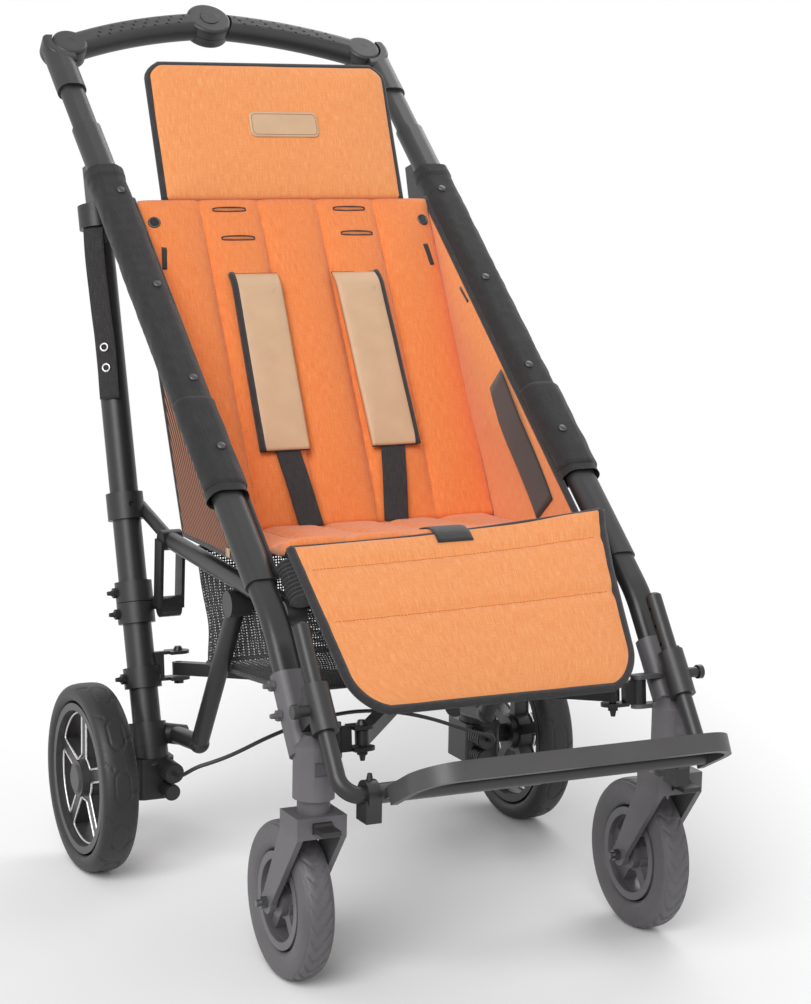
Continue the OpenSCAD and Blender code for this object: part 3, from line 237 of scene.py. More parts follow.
# fine pores between the cells of the grain
def leatherMaterial(name, colour, rough):
    mat, tree, shader = startMaterial(name, rough)
    cell = makeNode(tree, "ShaderNodeTexVoronoi", feature="DISTANCE_TO_EDGE")
    setInputs(cell, {"Scale": 900, "Vector": coords(tree, "UV")})
    pores = ramp(cell.outputs["Distance"], [(0.0, (0,) * 3), (0.25, (1,) * 3)])
    cloud = noiseAt(tree, "UV", 30, 4)
    base = ramp(cloud, [(0.25, scaled(colour, 0.92)), (0.75, scaled(colour, 1.06))])
    setInputs(shader, {"Base Color": base, "Roughness": toneRamp(cloud, (rough,) * 3, 0.8, 1.2)})
    addBump(shader, pores, 0.4, 0.0003)
    return mat


# fine mesh with pale lines that run along the piece
def stripedMaterial(name, dark, mid, light, pitch):
    mat, tree, shader = startMaterial(name, 0.8)
    wave = threadWave(tree, "X", pitch, 0.5, 2)
    link(ramp(wave, [(0.3, dark), (0.7, mid), (0.95, light)]), shader.inputs["Base Color"])
    addBump(shader, wave, 0.5, 0.0006)
    return mat


# open net: round holes in offset rows, the rest is black thread
def netMaterial(name, colour, pitch, holeShare):
    mat, tree, shader = startMaterial(name, 0.8)
    cell = makeNode(tree, "ShaderNodeTexVoronoi", feature="F1")
    setInputs(cell, {"Scale": 1 / pitch, "Randomness": 0.12, "Vector": coords(tree, "UV")})
    solid = ramp(cell.outputs["Distance"], [(holeShare, (0,) * 3), (holeShare + 0.06, (1,) * 3)])
    fine = noiseAt(tree, "UV", 400, 2)
    setInputs(shader, {"Alpha": solid, "Base Color": toneRamp(fine, colour, 0.7, 1.5)})
    addBump(shader, cell.outputs["Distance"], 0.4, 0.0005)
    return mat


# drawn metal: streaks in its tone and its roughness
def metalMaterial(name, colour, rough):
    mat, tree, shader = startMaterial(name, rough, 1.0)
    streaks = noiseAt(tree, "Object", 220, 3, (1, 1, 6))
    tone, gloss = toneRamp(streaks, colour, 0.8, 1.1), toneRamp(streaks, (rough,) * 3, 0.8, 1.3)
    setInputs(shader, {"Base Color": tone, "Roughness": gloss})
    addBump(shader, streaks, 0.15, 0.0001)
    return mat


# dark, middle and light tone of each cloth
orangeTones = [(0.77, 0.215, 0.052), (0.86, 0.315, 0.100), (0.93, 0.46, 0.20)]
# a darker, redder copy of the orange tones for the back and seat pads: painted shade and bounce light of the hollow
# seat, the cloth is the same as on the head and calf pads
shadedOrangeTones = [(0.75, 0.16, 0.03), (0.845, 0.236, 0.058), (0.915, 0.36, 0.125)]
blackTones = [(0.016, 0.015, 0.016), (0.024, 0.022, 0.024), (0.04, 0.036, 0.039)]
coverTones = [(0.005, 0.0045, 0.005), (0.009, 0.008, 0.009), (0.016, 0.0142, 0.0155)]
hookTones = [(0.006,) * 3, (0.012,) * 3, (0.03,) * 3]
backingTones = [(0.012, 0.010, 0.010), (0.022, 0.018, 0.018), (0.05, 0.034, 0.03)]
meshTones = [(0.075, 0.03, 0.022), (0.17, 0.062, 0.038), (0.5, 0.23, 0.13)]
orangeCloth = wovenMaterial("orangeMelangeCloth", *orangeTones, pitch=0.0009, streak=1.1)
# the same orange cloth with painted shade and bounce light, for the back and seat pads
shadedOrangeCloth = wovenMaterial("deepOrangeMelangeCloth", *shadedOrangeTones, pitch=0.0009, streak=1.1)
blackCloth = wovenMaterial("blackCoverCloth", *coverTones, pitch=0.0009, streak=0.6, sheen=0.15)
blackBinding = wovenMaterial("blackBindingTape", *blackTones, pitch=0.0007, streak=0.4, sheen=0.2)
blackWebbing = wovenMaterial("blackWebbing", *blackTones, pitch=0.0022, streak=0.5, sheen=0.1, depth=0.0007)
hookTape = wovenMaterial("hookTapeFuzz", *hookTones, pitch=0.0016, streak=1.0, sheen=0.3, depth=0.0012)
backingCloth = wovenMaterial("darkBackingMesh", *backingTones, pitch=0.0026, streak=0.8, depth=0.0008)
brownMesh = stripedMaterial("brownBackMesh", *meshTones, pitch=0.0046)
tanLeather = leatherMaterial("tanLeather", (0.60, 0.395, 0.24), 0.34)
netCloth = netMaterial("basketNet", (0.035, 0.033, 0.034), 0.0034, 0.24)
framePaint = coatedMaterial("charcoalPowderCoat", (0.017, 0.0162, 0.0165), 0.36, 900, 0.00025, 0.25)
castGrey = coatedMaterial("castingGrey", (0.092, 0.087, 0.092), 0.45, 700, 0.0004, 0.2)
blackPlastic = coatedMaterial("blackMoulding", (0.017, 0.016, 0.0165), 0.4, 800, 0.0003, 0.2)
gripPlastic = coatedMaterial("gripMoulding", (0.022, 0.021, 0.022), 0.42, 900, 0.0003, 0.15)
bracePaint = coatedMaterial("bracePowderCoat", (0.011, 0.0105, 0.011), 0.38, 900, 0.0002, 0.25)
rimPlastic = coatedMaterial("casterMoulding", (0.1, 0.095, 0.1), 0.4, 700, 0.0003, 0.2)
spokePlastic = coatedMaterial("rearWheelMoulding", (0.036, 0.034, 0.036), 0.4, 700, 0.0003, 0.2)
plateCoat = coatedMaterial("footplateCoat", (0.045, 0.043, 0.044), 0.42, 900, 0.0003, 0.25)
tyreRubber = coatedMaterial("casterRubber", (0.1, 0.095, 0.1), 0.5, 500, 0.0005, 0.25)
rearRubber = coatedMaterial("rearTyreRubber", (0.019, 0.018, 0.019), 0.5, 500, 0.0005, 0.25)
cableSheath = coatedMaterial("cableSheath", (0.02, 0.02, 0.02), 0.4, 900, 0.0001, 0.1)
boltSteel = metalMaterial("darkBoltSteel", (0.2, 0.2, 0.205), 0.35)
snapMetal = metalMaterial("snapGunmetal", (0.1, 0.1, 0.105), 0.4)
windowSilver = metalMaterial("windowSilver", (0.82, 0.81, 0.8), 0.4)
eyeletSteel = metalMaterial("eyeletSteel", (0.62, 0.61, 0.6), 0.3)
pedalRed = coatedMaterial("pedalRed", (0.28, 0.02, 0.015), 0.45, 700, 0.0003, 0.2)
seamThread = threadMaterial("orangeThread", (0.5, 0.13, 0.03), (0.62, 0.2, 0.05), (0.75, 0.3, 0.1))
plumThread = threadMaterial("plumThread", (0.05, 0.012, 0.014), (0.08, 0.02, 0.02), (0.12, 0.03, 0.03))
darkThread = threadMaterial("brownThread", (0.1, 0.05, 0.025), (0.16, 0.08, 0.04), (0.22, 0.12, 0.06))
stageDone("materials made")

# every CAD piece that stays in view gets its finish
nodeFinish = [
    (framePaint, "main_tube lower_tube rear_tube seat_rail strut hanger"), (castGrey, "leg_casting caster_fork"),
    (blackPlastic, "axle_housing collars hanger_clamp swivel_lock handle_button"),
    (gripPlastic, "handle_corner grip"), (bracePaint, "front_arm rear_arm upper_bar lower_bar"),
    (boltSteel, "caster_axle"), (rimPlastic, "caster_wheel"), (spokePlastic, "rear_wheel"),
    (plateCoat, "footplate"), (pedalRed, "brake_pedal"),
]
for finish, names in nodeFinish:
    for nodeName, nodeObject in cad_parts.items():
        if nodeName.replace("right_", "").replace("left_", "") in names.split():
            nodeObject.data.materials.clear()
            nodeObject.data.materials.append(finish)


# mesh helpers: points in metres, UVs in metres too
def newPiece(name, mesh, body):
    mesh.name = name
    piece = bpy.data.objects.new(name, mesh)
    bpy.context.scene.collection.objects.link(piece)
    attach(piece, body)
    return piece


def meshFrom(points, faces, uvs, materials, picks=None):
    mesh = bpy.data.meshes.new("mesh")
    mesh.from_pydata([tuple(p) for p in points], [], faces)
    layer = mesh.uv_layers.new(name="UVMap")
    for loop in mesh.loops:
        layer.data[loop.index].uv = uvs[loop.vertex_index]
    for material in materials:
        mesh.materials.append(material)
    for polygon in mesh.polygons:
        polygon.use_smooth = True
        if picks:
            polygon.material_index = picks[polygon.index]
    mesh.update()
    return mesh


def gridFaces(rows, columns, start=0, wrapRows=False, wrapColumns=False, flip=False):
    faces = []
    for i in range(rows if wrapRows else rows - 1):
        for j in range(columns if wrapColumns else columns - 1):
            a = start + i * columns + j
            b = start + i * columns + (j + 1) % columns
            c = start + ((i + 1) % rows) * columns + (j + 1) % columns
            d = start + ((i + 1) % rows) * columns + j
            faces.append((a, d, c, b) if flip else (a, b, c, d))
    return faces


# place(i, j) gives a point and its UV
def gridMesh(rows, columns, place, material, **wrap):
    placed = [place(i, j) for i in range(rows) for j in range(columns)]
    points, uvs = zip(*placed)
    return meshFrom(points, gridFaces(rows, columns, **wrap), uvs, [material])


# a closed pad: two grids joined round their rim
def padMesh(across, along, place, size, material, rear=None):
    points, uvs, faces = [], [], []
    columns = along + 1
    for face in (1, -1):
        for i in range(across + 1):
            for j in range(along + 1):
                points.append(place(i / across, j / along, face))
                uvs.append((i / across * size[0], j / along * size[1]))
    count = (across + 1) * columns
    faces += gridFaces(across + 1, columns, 0, flip=True)
    faces += gridFaces(across + 1, columns, count)
    loop = [i * columns for i in range(across + 1)]
    loop += [across * columns + j for j in range(1, columns)]
    loop += [i * columns + along for i in range(across - 1, -1, -1)]
    loop += [j for j in range(along - 1, 0, -1)]
    for k, a in enumerate(loop):
        b = loop[(k + 1) % len(loop)]
        faces.append((a, count + a, count + b, b))
    rearCount = across * along
    picks = [0] * rearCount + [1 if rear else 0] * rearCount + [0] * len(loop)
    mesh = meshFrom(points, faces, uvs, [material, rear] if rear else [material], picks)
    bm = bmesh.new()
    bm.from_mesh(mesh)
    bmesh.ops.recalc_face_normals(bm, faces=bm.faces)
    bm.to_mesh(mesh)
    bm.free()
    return mesh


# a ring of (side, top) offsets swept along points; ups is one normal, a list of them, or None for a free tube
def sweepMesh(path, ring, around, material, closed, ups):
    points, uvs = [], []
    total, sides = len(path), len(ring)
    length, side = 0.0, None
    for i, p in enumerate(path):
        before = path[i - 1] if closed or i > 0 else p
        after = path[(i + 1) % total] if closed or i < total - 1 else p
        run = (after - before).normalized()
        if ups is not None:
            side = run.cross(ups[i] if isinstance(ups, list) else ups).normalized()
        elif side is None:
            side = run.orthogonal().normalized()
        else:
            side = (side - run * side.dot(run)).normalized()
        top = side.cross(run)
        if i:
            length += (p - path[i - 1]).length
        points += [p + side * x + top * y for x, y in ring]
        uvs += [(u, length) for u in around]
    faces = gridFaces(total, sides, 0, wrapRows=closed, wrapColumns=True, flip=True)
    if not closed:
        faces += [tuple(range(sides)), tuple(reversed(range((total - 1) * sides, total * sides)))]
    return meshFrom(points, faces, uvs, [material])


# a round tube for piping, bindings and the cable
def tubeMesh(path, radius, material, sides=10, closed=False, flat=1.0, up=None):
    turns = turnsOf(sides)
    ring = [(radius * cos(turn), radius * sin(turn) * flat) for turn in turns]
    return sweepMesh(path, ring, [radius * turn for turn in turns], material, closed, up)


# a flat band for tapes and webbing
def bandMesh(path, normals, width, thick, material):
    rounding, sides = 0.35, 12
    corners = [(signedPower(cos(turn), rounding), signedPower(sin(turn), rounding)) for turn in turnsOf(sides)]
    ring = [(c * width / 2, s * thick / 2) for c, s in corners]
    return sweepMesh(path, ring, [x for x, y in ring], material, False, normals)


# a sewn line: short rounded thread dashes laid on a path
seamSet = {"pitch": 0.0042, "dash": 0.003, "thick": 0.0009, "material": seamThread}
dashRings = ((-0.5, 0.35), (-0.3, 1), (0.3, 1), (0.5, 0.35))  # place along a dash, share of its thickness


def stitchMesh(path, up, pitch, dash, thick, material):
    points, uvs, faces = [], [], []
    sides = 6
    carried = pitch / 2
    for i in range(len(path) - 1):
        a, b = path[i], path[i + 1]
        span = (b - a).length
        run = (b - a).normalized()
        side = run.cross(up).normalized()
        while carried < span:
            centre = a + run * carried
            start = len(points)
            for along, grow in dashRings:
                for turn in turnsOf(sides):
                    out = (side * cos(turn) + up * sin(turn)) * (thick / 2 * grow)
                    points.append(centre + run * (along * dash) + out)
                    uvs.append((along * dash, thick * turn / (2 * pi)))
            faces += gridFaces(len(dashRings), sides, start, wrapColumns=True, flip=True)
            faces.append(tuple(range(start, start + sides)))
            faces.append(tuple(reversed(range(len(points) - sides, len(points)))))
            carried += pitch
        carried -= span
    return meshFrom(points, faces, uvs, [material])


def noiseOf(x, y, z):
    return noise.noise(Vector((x, y, z)))


# slack that wanders over a piece of cloth
def ripple(x, y, scale, depth):
    return depth * noiseOf(x * scale, y * scale, 0.37)


# a pad's half thickness: full in the middle, rounded down to the edge
def softCrown(u, v, half, edge=3, share=0.45):
    e = min(min(u, 1 - u), min(v, 1 - v)) / share
    return edge + (half - edge) * (1 if e >= 1 else sqrt(1 - (1 - e) * (1 - e)))


# a point on a leaning plane: up the slope and off its face
def onSlope(foot, degrees, x, up, off):
    lean = radians(degrees)
    return at(x, foot[0] + up * sin(lean) - off * cos(lean), foot[1] + up * cos(lean) + off * sin(lean))


def slopeNormal(degrees):
    return Vector((0, -cos(radians(degrees)), sin(radians(degrees))))


stageDone("helpers ready")


def softPiece(name, mesh, replaced=None):
    piece = newPiece(name, mesh, "right_frame")
    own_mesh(piece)
    if replaced:
        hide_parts(replaced)
    return piece


def softPad(name, s, place, cloth, replaced):
    mesh = padMesh(*s["grid"], place, s["cloth"], cloth, backingCloth)
    return softPiece(name, mesh, replaced)


# the three edges of a pad that carry its piping, open at v = 0
def padEdge(place, along, across):
    edge = [place(0, k / along, 0) for k in range(along + 1)]
    edge += [place(k / across, 1, 0) for k in range(1, across)]
    return edge + [place(1, k / along, 0) for k in range(along, -1, -1)]


# back pad: upright sewn channels, crowned between the seams
backSet = {
    "foot": (-262, 452), "lean": 29, "low": -18, "long": 443, "half": 201.5, "thick": 22, "channels": 5,
    "pinch": 0.66, "puff": 5.2, "frontMost": 16.4, "rearMost": 11.2, "grid": (150, 80), "cloth": (0.403, 0.425),
}
backNormal = slopeNormal(backSet["lean"])
seamLift, slotLift, tapeThick = 0.25, 0.35, 0.0006


def onBack(x, up, off):
    return onSlope(backSet["foot"], backSet["lean"], x, up, off)


def backHalf(u, v):
    s = backSet
    valley = abs(2 * ((u * s["channels"]) % 1) - 1)  # 1 on a seam, 0 along the middle of a channel
    half = softCrown(u, v, s["thick"] / 2) * (1 - s["pinch"] * valley ** 8)
    x, up = (2 * u - 1) * s["half"], v * s["long"]
    half += s["puff"] * (1 - valley ** 2) * min(1, 6 * min(v, 1 - v))
    pucker = 0.7 * valley ** 5 * sin(up / 3.4 + 3 * noiseOf(x * 0.05, up * 0.02, 1))
    return half + pucker + ripple(x, up, 0.012, 1.0)


def backPlace(u, v, face):
    s = backSet
    most = s["frontMost"] if face > 0 else s["rearMost"]
    return onBack((2 * u - 1) * s["half"], s["low"] + v * s["long"], face * min(backHalf(u, v), most))


# the back pad gets the darker, redder cloth copy: painted shade and bounce light
backPad = softPad("backPad", backSet, backPlace, shadedOrangeCloth, "back_pad")


def backFront(x, up):
    return backHalf((x / backSet["half"] + 1) / 2, (up - backSet["low"]) / backSet["long"])


def onBackFront(x, up, lift):
    return onBack(x, up, backFront(x, up) + lift)


for k in range(1, backSet["channels"]):
    x = (2 * k / backSet["channels"] - 1) * backSet["half"]
    path = [onBackFront(x, up, seamLift) for up in range(14, 414, 10)]
    softPiece(f"backSeam{k - 1}", stitchMesh(path, backNormal, **seamSet))


# harness slots: buttonholes, a closed slit inside a dark thread border
slotSet = {
    "long": 44, "high": 6, "border": 0.001, "lift": 0.4, "slit": 0.003, "steps": 24,
    "places": [(-83, 409), (-80, 367), (84, 409), (86, 372)],
}
for k, (cx, cup) in enumerate(slotSet["places"]):
    s = slotSet
    path = []
    for turn in turnsOf(s["steps"]):
        x = cx + s["long"] / 2 * max(-1, min(1, 1.25 * cos(turn)))
        path.append(onBack(x, cup + s["high"] / 2 * sin(turn), backFront(x, cup) + s["lift"]))
    softPiece(f"harnessSlotBorder{k}", tubeMesh(path, s["border"], plumThread, 6, True))
    slit = [onBackFront(cx + dx, cup, slotLift) for dx in range(-19, 20, 2)]
    softPiece(f"harnessSlotSlit{k}", bandMesh(slit, backNormal, s["slit"], tapeThick, seamThread))
# an eyelet and a slot at each side edge
sideHoles = {
    "eyelet": (187, 392), "round": 6.5, "lift": 0.4, "wire": 0.0014, "hole": 0.01,
    "slot": [(185, 326), (181, 356)], "wide": 0.008,
}
for side, hand in hands:
    s = sideHoles
    cx, cup = side * s["eyelet"][0], s["eyelet"][1]
    ring = [onBackFront(cx + s["round"] * cos(t), cup + s["round"] * sin(t), s["lift"]) for t in turnsOf(24)]
    softPiece(f"{hand}BackEyelet", tubeMesh(ring, s["wire"], snapMetal, 6, True))
    # the dark hook tape patch inside the eyelet ring is painted shade of the hole
    disc = [onBackFront(x, cup, slotLift) for x in range(cx - 5, cx + 6)]
    softPiece(f"{hand}BackEyeletHole", bandMesh(disc, backNormal, s["hole"], tapeThick, hookTape))
    # the side slot is drawn as a dark hook tape strip: painted shade inside the slot
    line = [between(*s["slot"], i / 10) for i in range(11)]
    path = [onBackFront(side * x, up, slotLift) for x, up in line]
    softPiece(f"{hand}BackSideSlot", bandMesh(path, backNormal, s["wide"], tapeThick, hookTape))
stageDone("back pad sewn")


# head pad: plain crowned pad with black piping and a bare leather patch
headSet = {
    "start": 426, "lean": 23, "long": 182, "wide": 328, "thick": 22, "round": 0.9, "crown": 2.5, "most": 14,
    "grid": (90, 60), "cloth": (0.322, 0.178), "piping": 0.005,
}
backLean = radians(backSet["lean"])
headFoot = (backSet["foot"][0] + headSet["start"] * sin(backLean),
            backSet["foot"][1] + headSet["start"] * cos(backLean))
headNormal = slopeNormal(headSet["lean"])


def onHead(x, up, off):
    return onSlope(headFoot, headSet["lean"], x, up, off)


def headWide(v):
    e = max(0, v - headSet["round"]) / (1 - headSet["round"])
    return headSet["wide"] / 2 * (1 - e * e * (1 - headSet["round"]))


def headHalf(u, v):
    s = headSet
    crown = softCrown(u, v, s["thick"] / 2 + s["crown"], 3.2, 0.42)
    return min(crown + ripple(u * s["wide"], v * s["long"], 0.014, 1.2), s["most"])


def headPlace(u, v, face):
    return onHead((2 * u - 1) * headWide(v), v * headSet["long"], face * headHalf(u, v))


headPad = softPad("headPad", headSet, headPlace, orangeCloth, "head_pad")
pipingMesh = tubeMesh(padEdge(headPlace, 40, 40), headSet["piping"], blackBinding)
softPiece("headPiping", pipingMesh)
# rings of the patch: inset from its outline, height over the pad
patchSet = {
    "centre": (8, 97), "wide": 96, "high": 34, "corner": 8, "top": 2.3, "sewnIn": 3, "sewnOff": 2.45,
    "rings": [(0, 0.2), (0, 1.6), (0.9, 2.2), (4, 2.2), (8, 2.25), (10.5, 2.3)],
}
patchStitch = {"pitch": 0.0034, "dash": 0.0024, "thick": 0.0008, "material": darkThread}


def patchOutline(inset):
    w, h = patchSet["wide"] / 2 - inset, patchSet["high"] / 2 - inset
    r = patchSet["corner"] - inset * 0.6
    path = []
    for cx, cy, start in ((w - r, h - r, 0), (r - w, h - r, 90), (r - w, r - h, 180), (w - r, r - h, 270)):
        for k in range(0, 91, 10):
            turn = radians(start + k)
            path.append((cx + r * cos(turn), cy + r * sin(turn)))
    return path


def onPatch(x, y, off):
    x, up = patchSet["centre"][0] + x, patchSet["centre"][1] + y
    return onHead(x, up, headHalf(x / headSet["wide"] + 0.5, up / headSet["long"]) + off)


patchPoints, patchUvs = [], []
rings = patchSet["rings"]
for inset, off in rings:
    for x, y in patchOutline(inset):
        patchPoints.append(onPatch(x, y, off))
        patchUvs.append((x / 1000, y / 1000))
ringCount = len(patchOutline(0))
patchFaces = gridFaces(len(rings), ringCount, 0, wrapColumns=True)
patchPoints.append(onPatch(0, 0, patchSet["top"]))
patchUvs.append((0, 0))
lastRing = (len(rings) - 1) * ringCount
patchFaces += [(lastRing + k, lastRing + (k + 1) % ringCount, len(patchPoints) - 1) for k in range(ringCount)]
softPiece("leatherPatch", meshFrom(patchPoints, patchFaces, patchUvs, [tanLeather]))
sewn = [onPatch(x, y, patchSet["sewnOff"]) for x, y in patchOutline(patchSet["sewnIn"])]
softPiece("patchStitch", stitchMesh(sewn + sewn[:1], headNormal, **patchStitch))
stageDone("head pad done")


# seat pad: the same channels as the back, running fore and aft, with a rolled front edge
seatSet = {
    "back": -262, "front": -542.4, "level": 433, "rise": 34, "half": 201.5, "long": 280, "thick": 24, "channels": 5,
    "pinch": 0.5, "roll": 9, "rollFrom": 0.82, "grid": (130, 64), "cloth": (0.403, 0.28),
}


def seatHalf(u, v):
    s = seatSet
    seam = abs(cos(pi * u * s["channels"]))
    half = softCrown(u, v, s["thick"] / 2) * (1 - s["pinch"] * seam ** 10)
    ahead = max(0, (v - s["rollFrom"]) / (1 - s["rollFrom"]))
    roll = s["roll"] * ahead * sqrt(max(0, 1 - (2 * v - 1) ** 12))
    x, y = (2 * u - 1) * s["half"], v * s["long"]
    pucker = 0.5 * seam ** 6 * sin(y / 3.1 + 2 * noiseOf(x * 0.05, y * 0.02, 4))
    return half + roll + pucker + ripple(x, y, 0.012, 0.8)


def onSeat(u, v, off):
    s = seatSet
    y, z = s["back"] + v * (s["front"] - s["back"]), s["level"] + s["rise"] * v * v + off
    return at((2 * u - 1) * s["half"], y, z)


def seatPlace(u, v, face):
    return onSeat(u, v, face * seatHalf(u, v))


# the seat pad gets the darker, redder cloth copy: painted shade and bounce light
seatPad = softPad("seatPad", seatSet, seatPlace, shadedOrangeCloth, "seat_pad")
for k in range(1, seatSet["channels"]):
    u = k / seatSet["channels"]
    path = [onSeat(u, v / 40, seatHalf(u, v / 40) + seamLift) for v in range(2, 39)]
    softPiece(f"seatSeam{k}", stitchMesh(path, Vector((0, 0, 1)), **seamSet))


# calf pad: hangs from the seat front, two sewn lines across, rounded lower corners, black binding
calfSet = {
    "top": (-545, 470), "lean": 42, "long": 212, "wide": (198, 172), "corner": 46, "thick": 16, "most": 8.3,
    "seams": (0.15, 0.47), "slack": 20, "binding": 0.0056, "topBinding": 0.003, "grid": (120, 72),
    "cloth": (0.39, 0.212),
}
calfNormal = slopeNormal(calfSet["lean"])


def onCalf(x, down, off):
    return onSlope(calfSet["top"], calfSet["lean"], x, -down, off)


def calfWide(v):
    s = calfSet
    d = max(0, s["long"] * v - (s["long"] - s["corner"]))
    return s["wide"][0] - (s["wide"][0] - s["wide"][1]) * v - s["corner"] + sqrt(s["corner"] ** 2 - 0.92 * d * d)


def calfHalf(u, v):
    s = calfSet
    sewn = sum(exp(-((v - p) * 30) ** 2) for p in s["seams"])
    x, down = (2 * u - 1) * calfWide(v), v * s["long"]
    half = softCrown(u, v, s["thick"] / 2, 2.6, 0.3) * (1 - 0.45 * min(1, sewn))
    pucker = 0.5 * min(1, sewn) * sin(x / 3.4 + 2 * noiseOf(x * 0.03, down * 0.05, 7))
    return min(half + pucker + ripple(x, down, 0.014, 0.9), s["most"])


# the top edge runs up over the seat's front on the left, as slack cloth does
def calfDown(u, v):
    start = 2 - calfSet["slack"] * u * u
    return start + v * (calfSet["long"] - start)


def calfRest(u, v):
    return max(0.0, -calfDown(u, v)) * 0.22


def calfPlace(u, v, face):
    wide = calfWide(v) + 10 * max(0, u - 0.5) * max(0, 1 - 3 * v)
    return onCalf((2 * u - 1) * wide, calfDown(u, v), face * calfHalf(u, v) + calfRest(u, v))


calfPad = softPad("calfPad", calfSet, calfPlace, orangeCloth, "calf_pad")
edgeMesh = tubeMesh(padEdge(calfPlace, 60, 48), calfSet["binding"], blackBinding)
softPiece("calfBinding", edgeMesh)
calfTopEdge = [calfPlace(u / 36, 0, 0) for u in range(37)]
edgeMesh = tubeMesh(calfTopEdge, calfSet["topBinding"], blackBinding, 8)
softPiece("calfTopBinding", edgeMesh)
for k, p in enumerate(calfSet["seams"]):
    path = [calfPlace(u / 60, p, 1) + calfNormal * (seamLift / 1000) for u in range(2, 59)]
    softPiece(f"calfSeam{k}", stitchMesh(path, calfNormal, **seamSet))
# hook tape tab from the seat's front down onto the calf pad
tabSet = {
    "across": 0.505, "seat": (0.88, 0.91, 0.94, 0.97), "calf": (0.01, 0.03, 0.05, 0.07), "size": (0.046, 0.0022),
}
tabAcross = tabSet["across"]
tabPath = [onSeat(tabAcross, v, seatHalf(tabAcross, v) + 1.6) for v in tabSet["seat"]]
tabPath += [calfPlace(tabAcross, v, 1) + calfNormal * 0.0014 for v in tabSet["calf"]]
tabNormals = [Vector((0, -0.3, 1)).normalized()] * 4 + [calfNormal] * 4
softPiece("calfHookTab", bandMesh(tabPath, tabNormals, *tabSet["size"], hookTape))
# ribbed roll at the calf pad's right edge
rollSet = {
    "from": (-199, 10, -15), "to": (-194, 66, -15), "radius": 13.5, "rib": 1.5, "ribs": 11, "rows": 89, "sides": 28,
    "endShare": 0.14,
}
points, uvs = [], []
rows, sides = rollSet["rows"], rollSet["sides"]
for i in range(rows):
    s = rollSet
    f = i / (rows - 1)
    close = max(0, abs(2 * f - 1) - (1 - s["endShare"])) / s["endShare"]
    end = max(0.05, sqrt(max(0.0, 1 - close * close)))
    centre = onCalf(*between(s["from"], s["to"], f))
    radius = (s["radius"] + s["rib"] * cos(2 * pi * f * s["ribs"])) * end / 1000
    for turn in turnsOf(sides):
        points.append(centre + Vector((1, 0, 0)) * (radius * cos(turn)) + calfNormal * (radius * sin(turn)))
        uvs.append((turn * 0.013, f * 0.06))
rollFaces = gridFaces(rows, sides, 0, wrapColumns=True)
rollFaces += [tuple(range(sides - 1, -1, -1)), tuple(range((rows - 1) * sides, rows * sides))]
softPiece("ribbedRoll", meshFrom(points, rollFaces, uvs, [blackBinding]))
stageDone("seat and calf pads done")


# harness: leather shoulder pads with black tape on the outer edge, webbing through their middle
harnessSet = {
    "x": 74, "pad": (62, 240, 10), "start": 76, "base": 15.4, "grid": (26, 70), "cloth": (0.056, 0.245),
    "binding": 0.0046, "hem": 0.0016, "web": (0.033, 0.0024), "webLow": -24,
}
for side, hand in hands:
    s = harnessSet

    def onPad(u, v, face):
        wide, long, thick = s["pad"]
        x = side * s["x"] + (2 * u - 1) * wide / 2 - side * 5 * v
        half = softCrown(u, v, thick / 2, 2.2, 0.3)
        sink = max(0, (v - 0.9) / 0.1) ** 2 * 7  # the top end goes into its slot
        lift = s["base"] + thick / 2 + 0.4 - sink + ripple(x, v * long, 0.02, 0.8)
        return onBack(x, s["start"] + v * long, lift + face * half)

    pad = softPiece(f"{hand}ShoulderPad", padMesh(*s["grid"], onPad, s["cloth"], tanLeather))
    outer = 0 if side < 0 else 1
    edge = [onPad(outer, v / 50, 0) for v in range(51)]
    softPiece(f"{hand}ShoulderBinding", tubeMesh(edge, s["binding"], blackBinding))
    for end, v in (("Low", 0), ("High", 1)):
        hem = [onPad(u / 12, v, 0) for u in range(13)]
        softPiece(f"{hand}ShoulderHem{end}", tubeMesh(hem, s["hem"], blackBinding, 6))
    webPath = []
    for up in range(s["webLow"], s["start"] + 20, 5):
        off = 16.2 + 4 * max(0, min(1, (up - 10) / 70)) + 1.0 * sin(up / 17)
        webPath.append(onBack(side * (59 + 13 * (up + 12) / 90), up, off))
    softPiece(f"{hand}Webbing", bandMesh(webPath, backNormal, *s["web"], blackWebbing))
    if hand == "right":
        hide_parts("harness")
stageDone("harness done")


# side panels: orange inside, dark mesh outside, bound in black, a little slack above the seat
panelSet = {
    "inner": 202.3, "outer": 207.8, "corners": [(-525.9, 431), (-240, 431), (-76.6, 786), (-48, 825)], "bulge": 9,
    "grid": (41, 61), "stripeTurn": (0.777, 0.629), "bindingX": 205, "binding": 0.0042,
}


def onPanel(u, v):
    b, c, d, a = panelSet["corners"]
    return between(between(b, a, v), between(c, d, v), u)


def panelSlack(u, v):
    return panelSet["bulge"] * sin(pi * u) * sin(pi * v) * max(0, min(1, (v - 0.12) / 0.2))


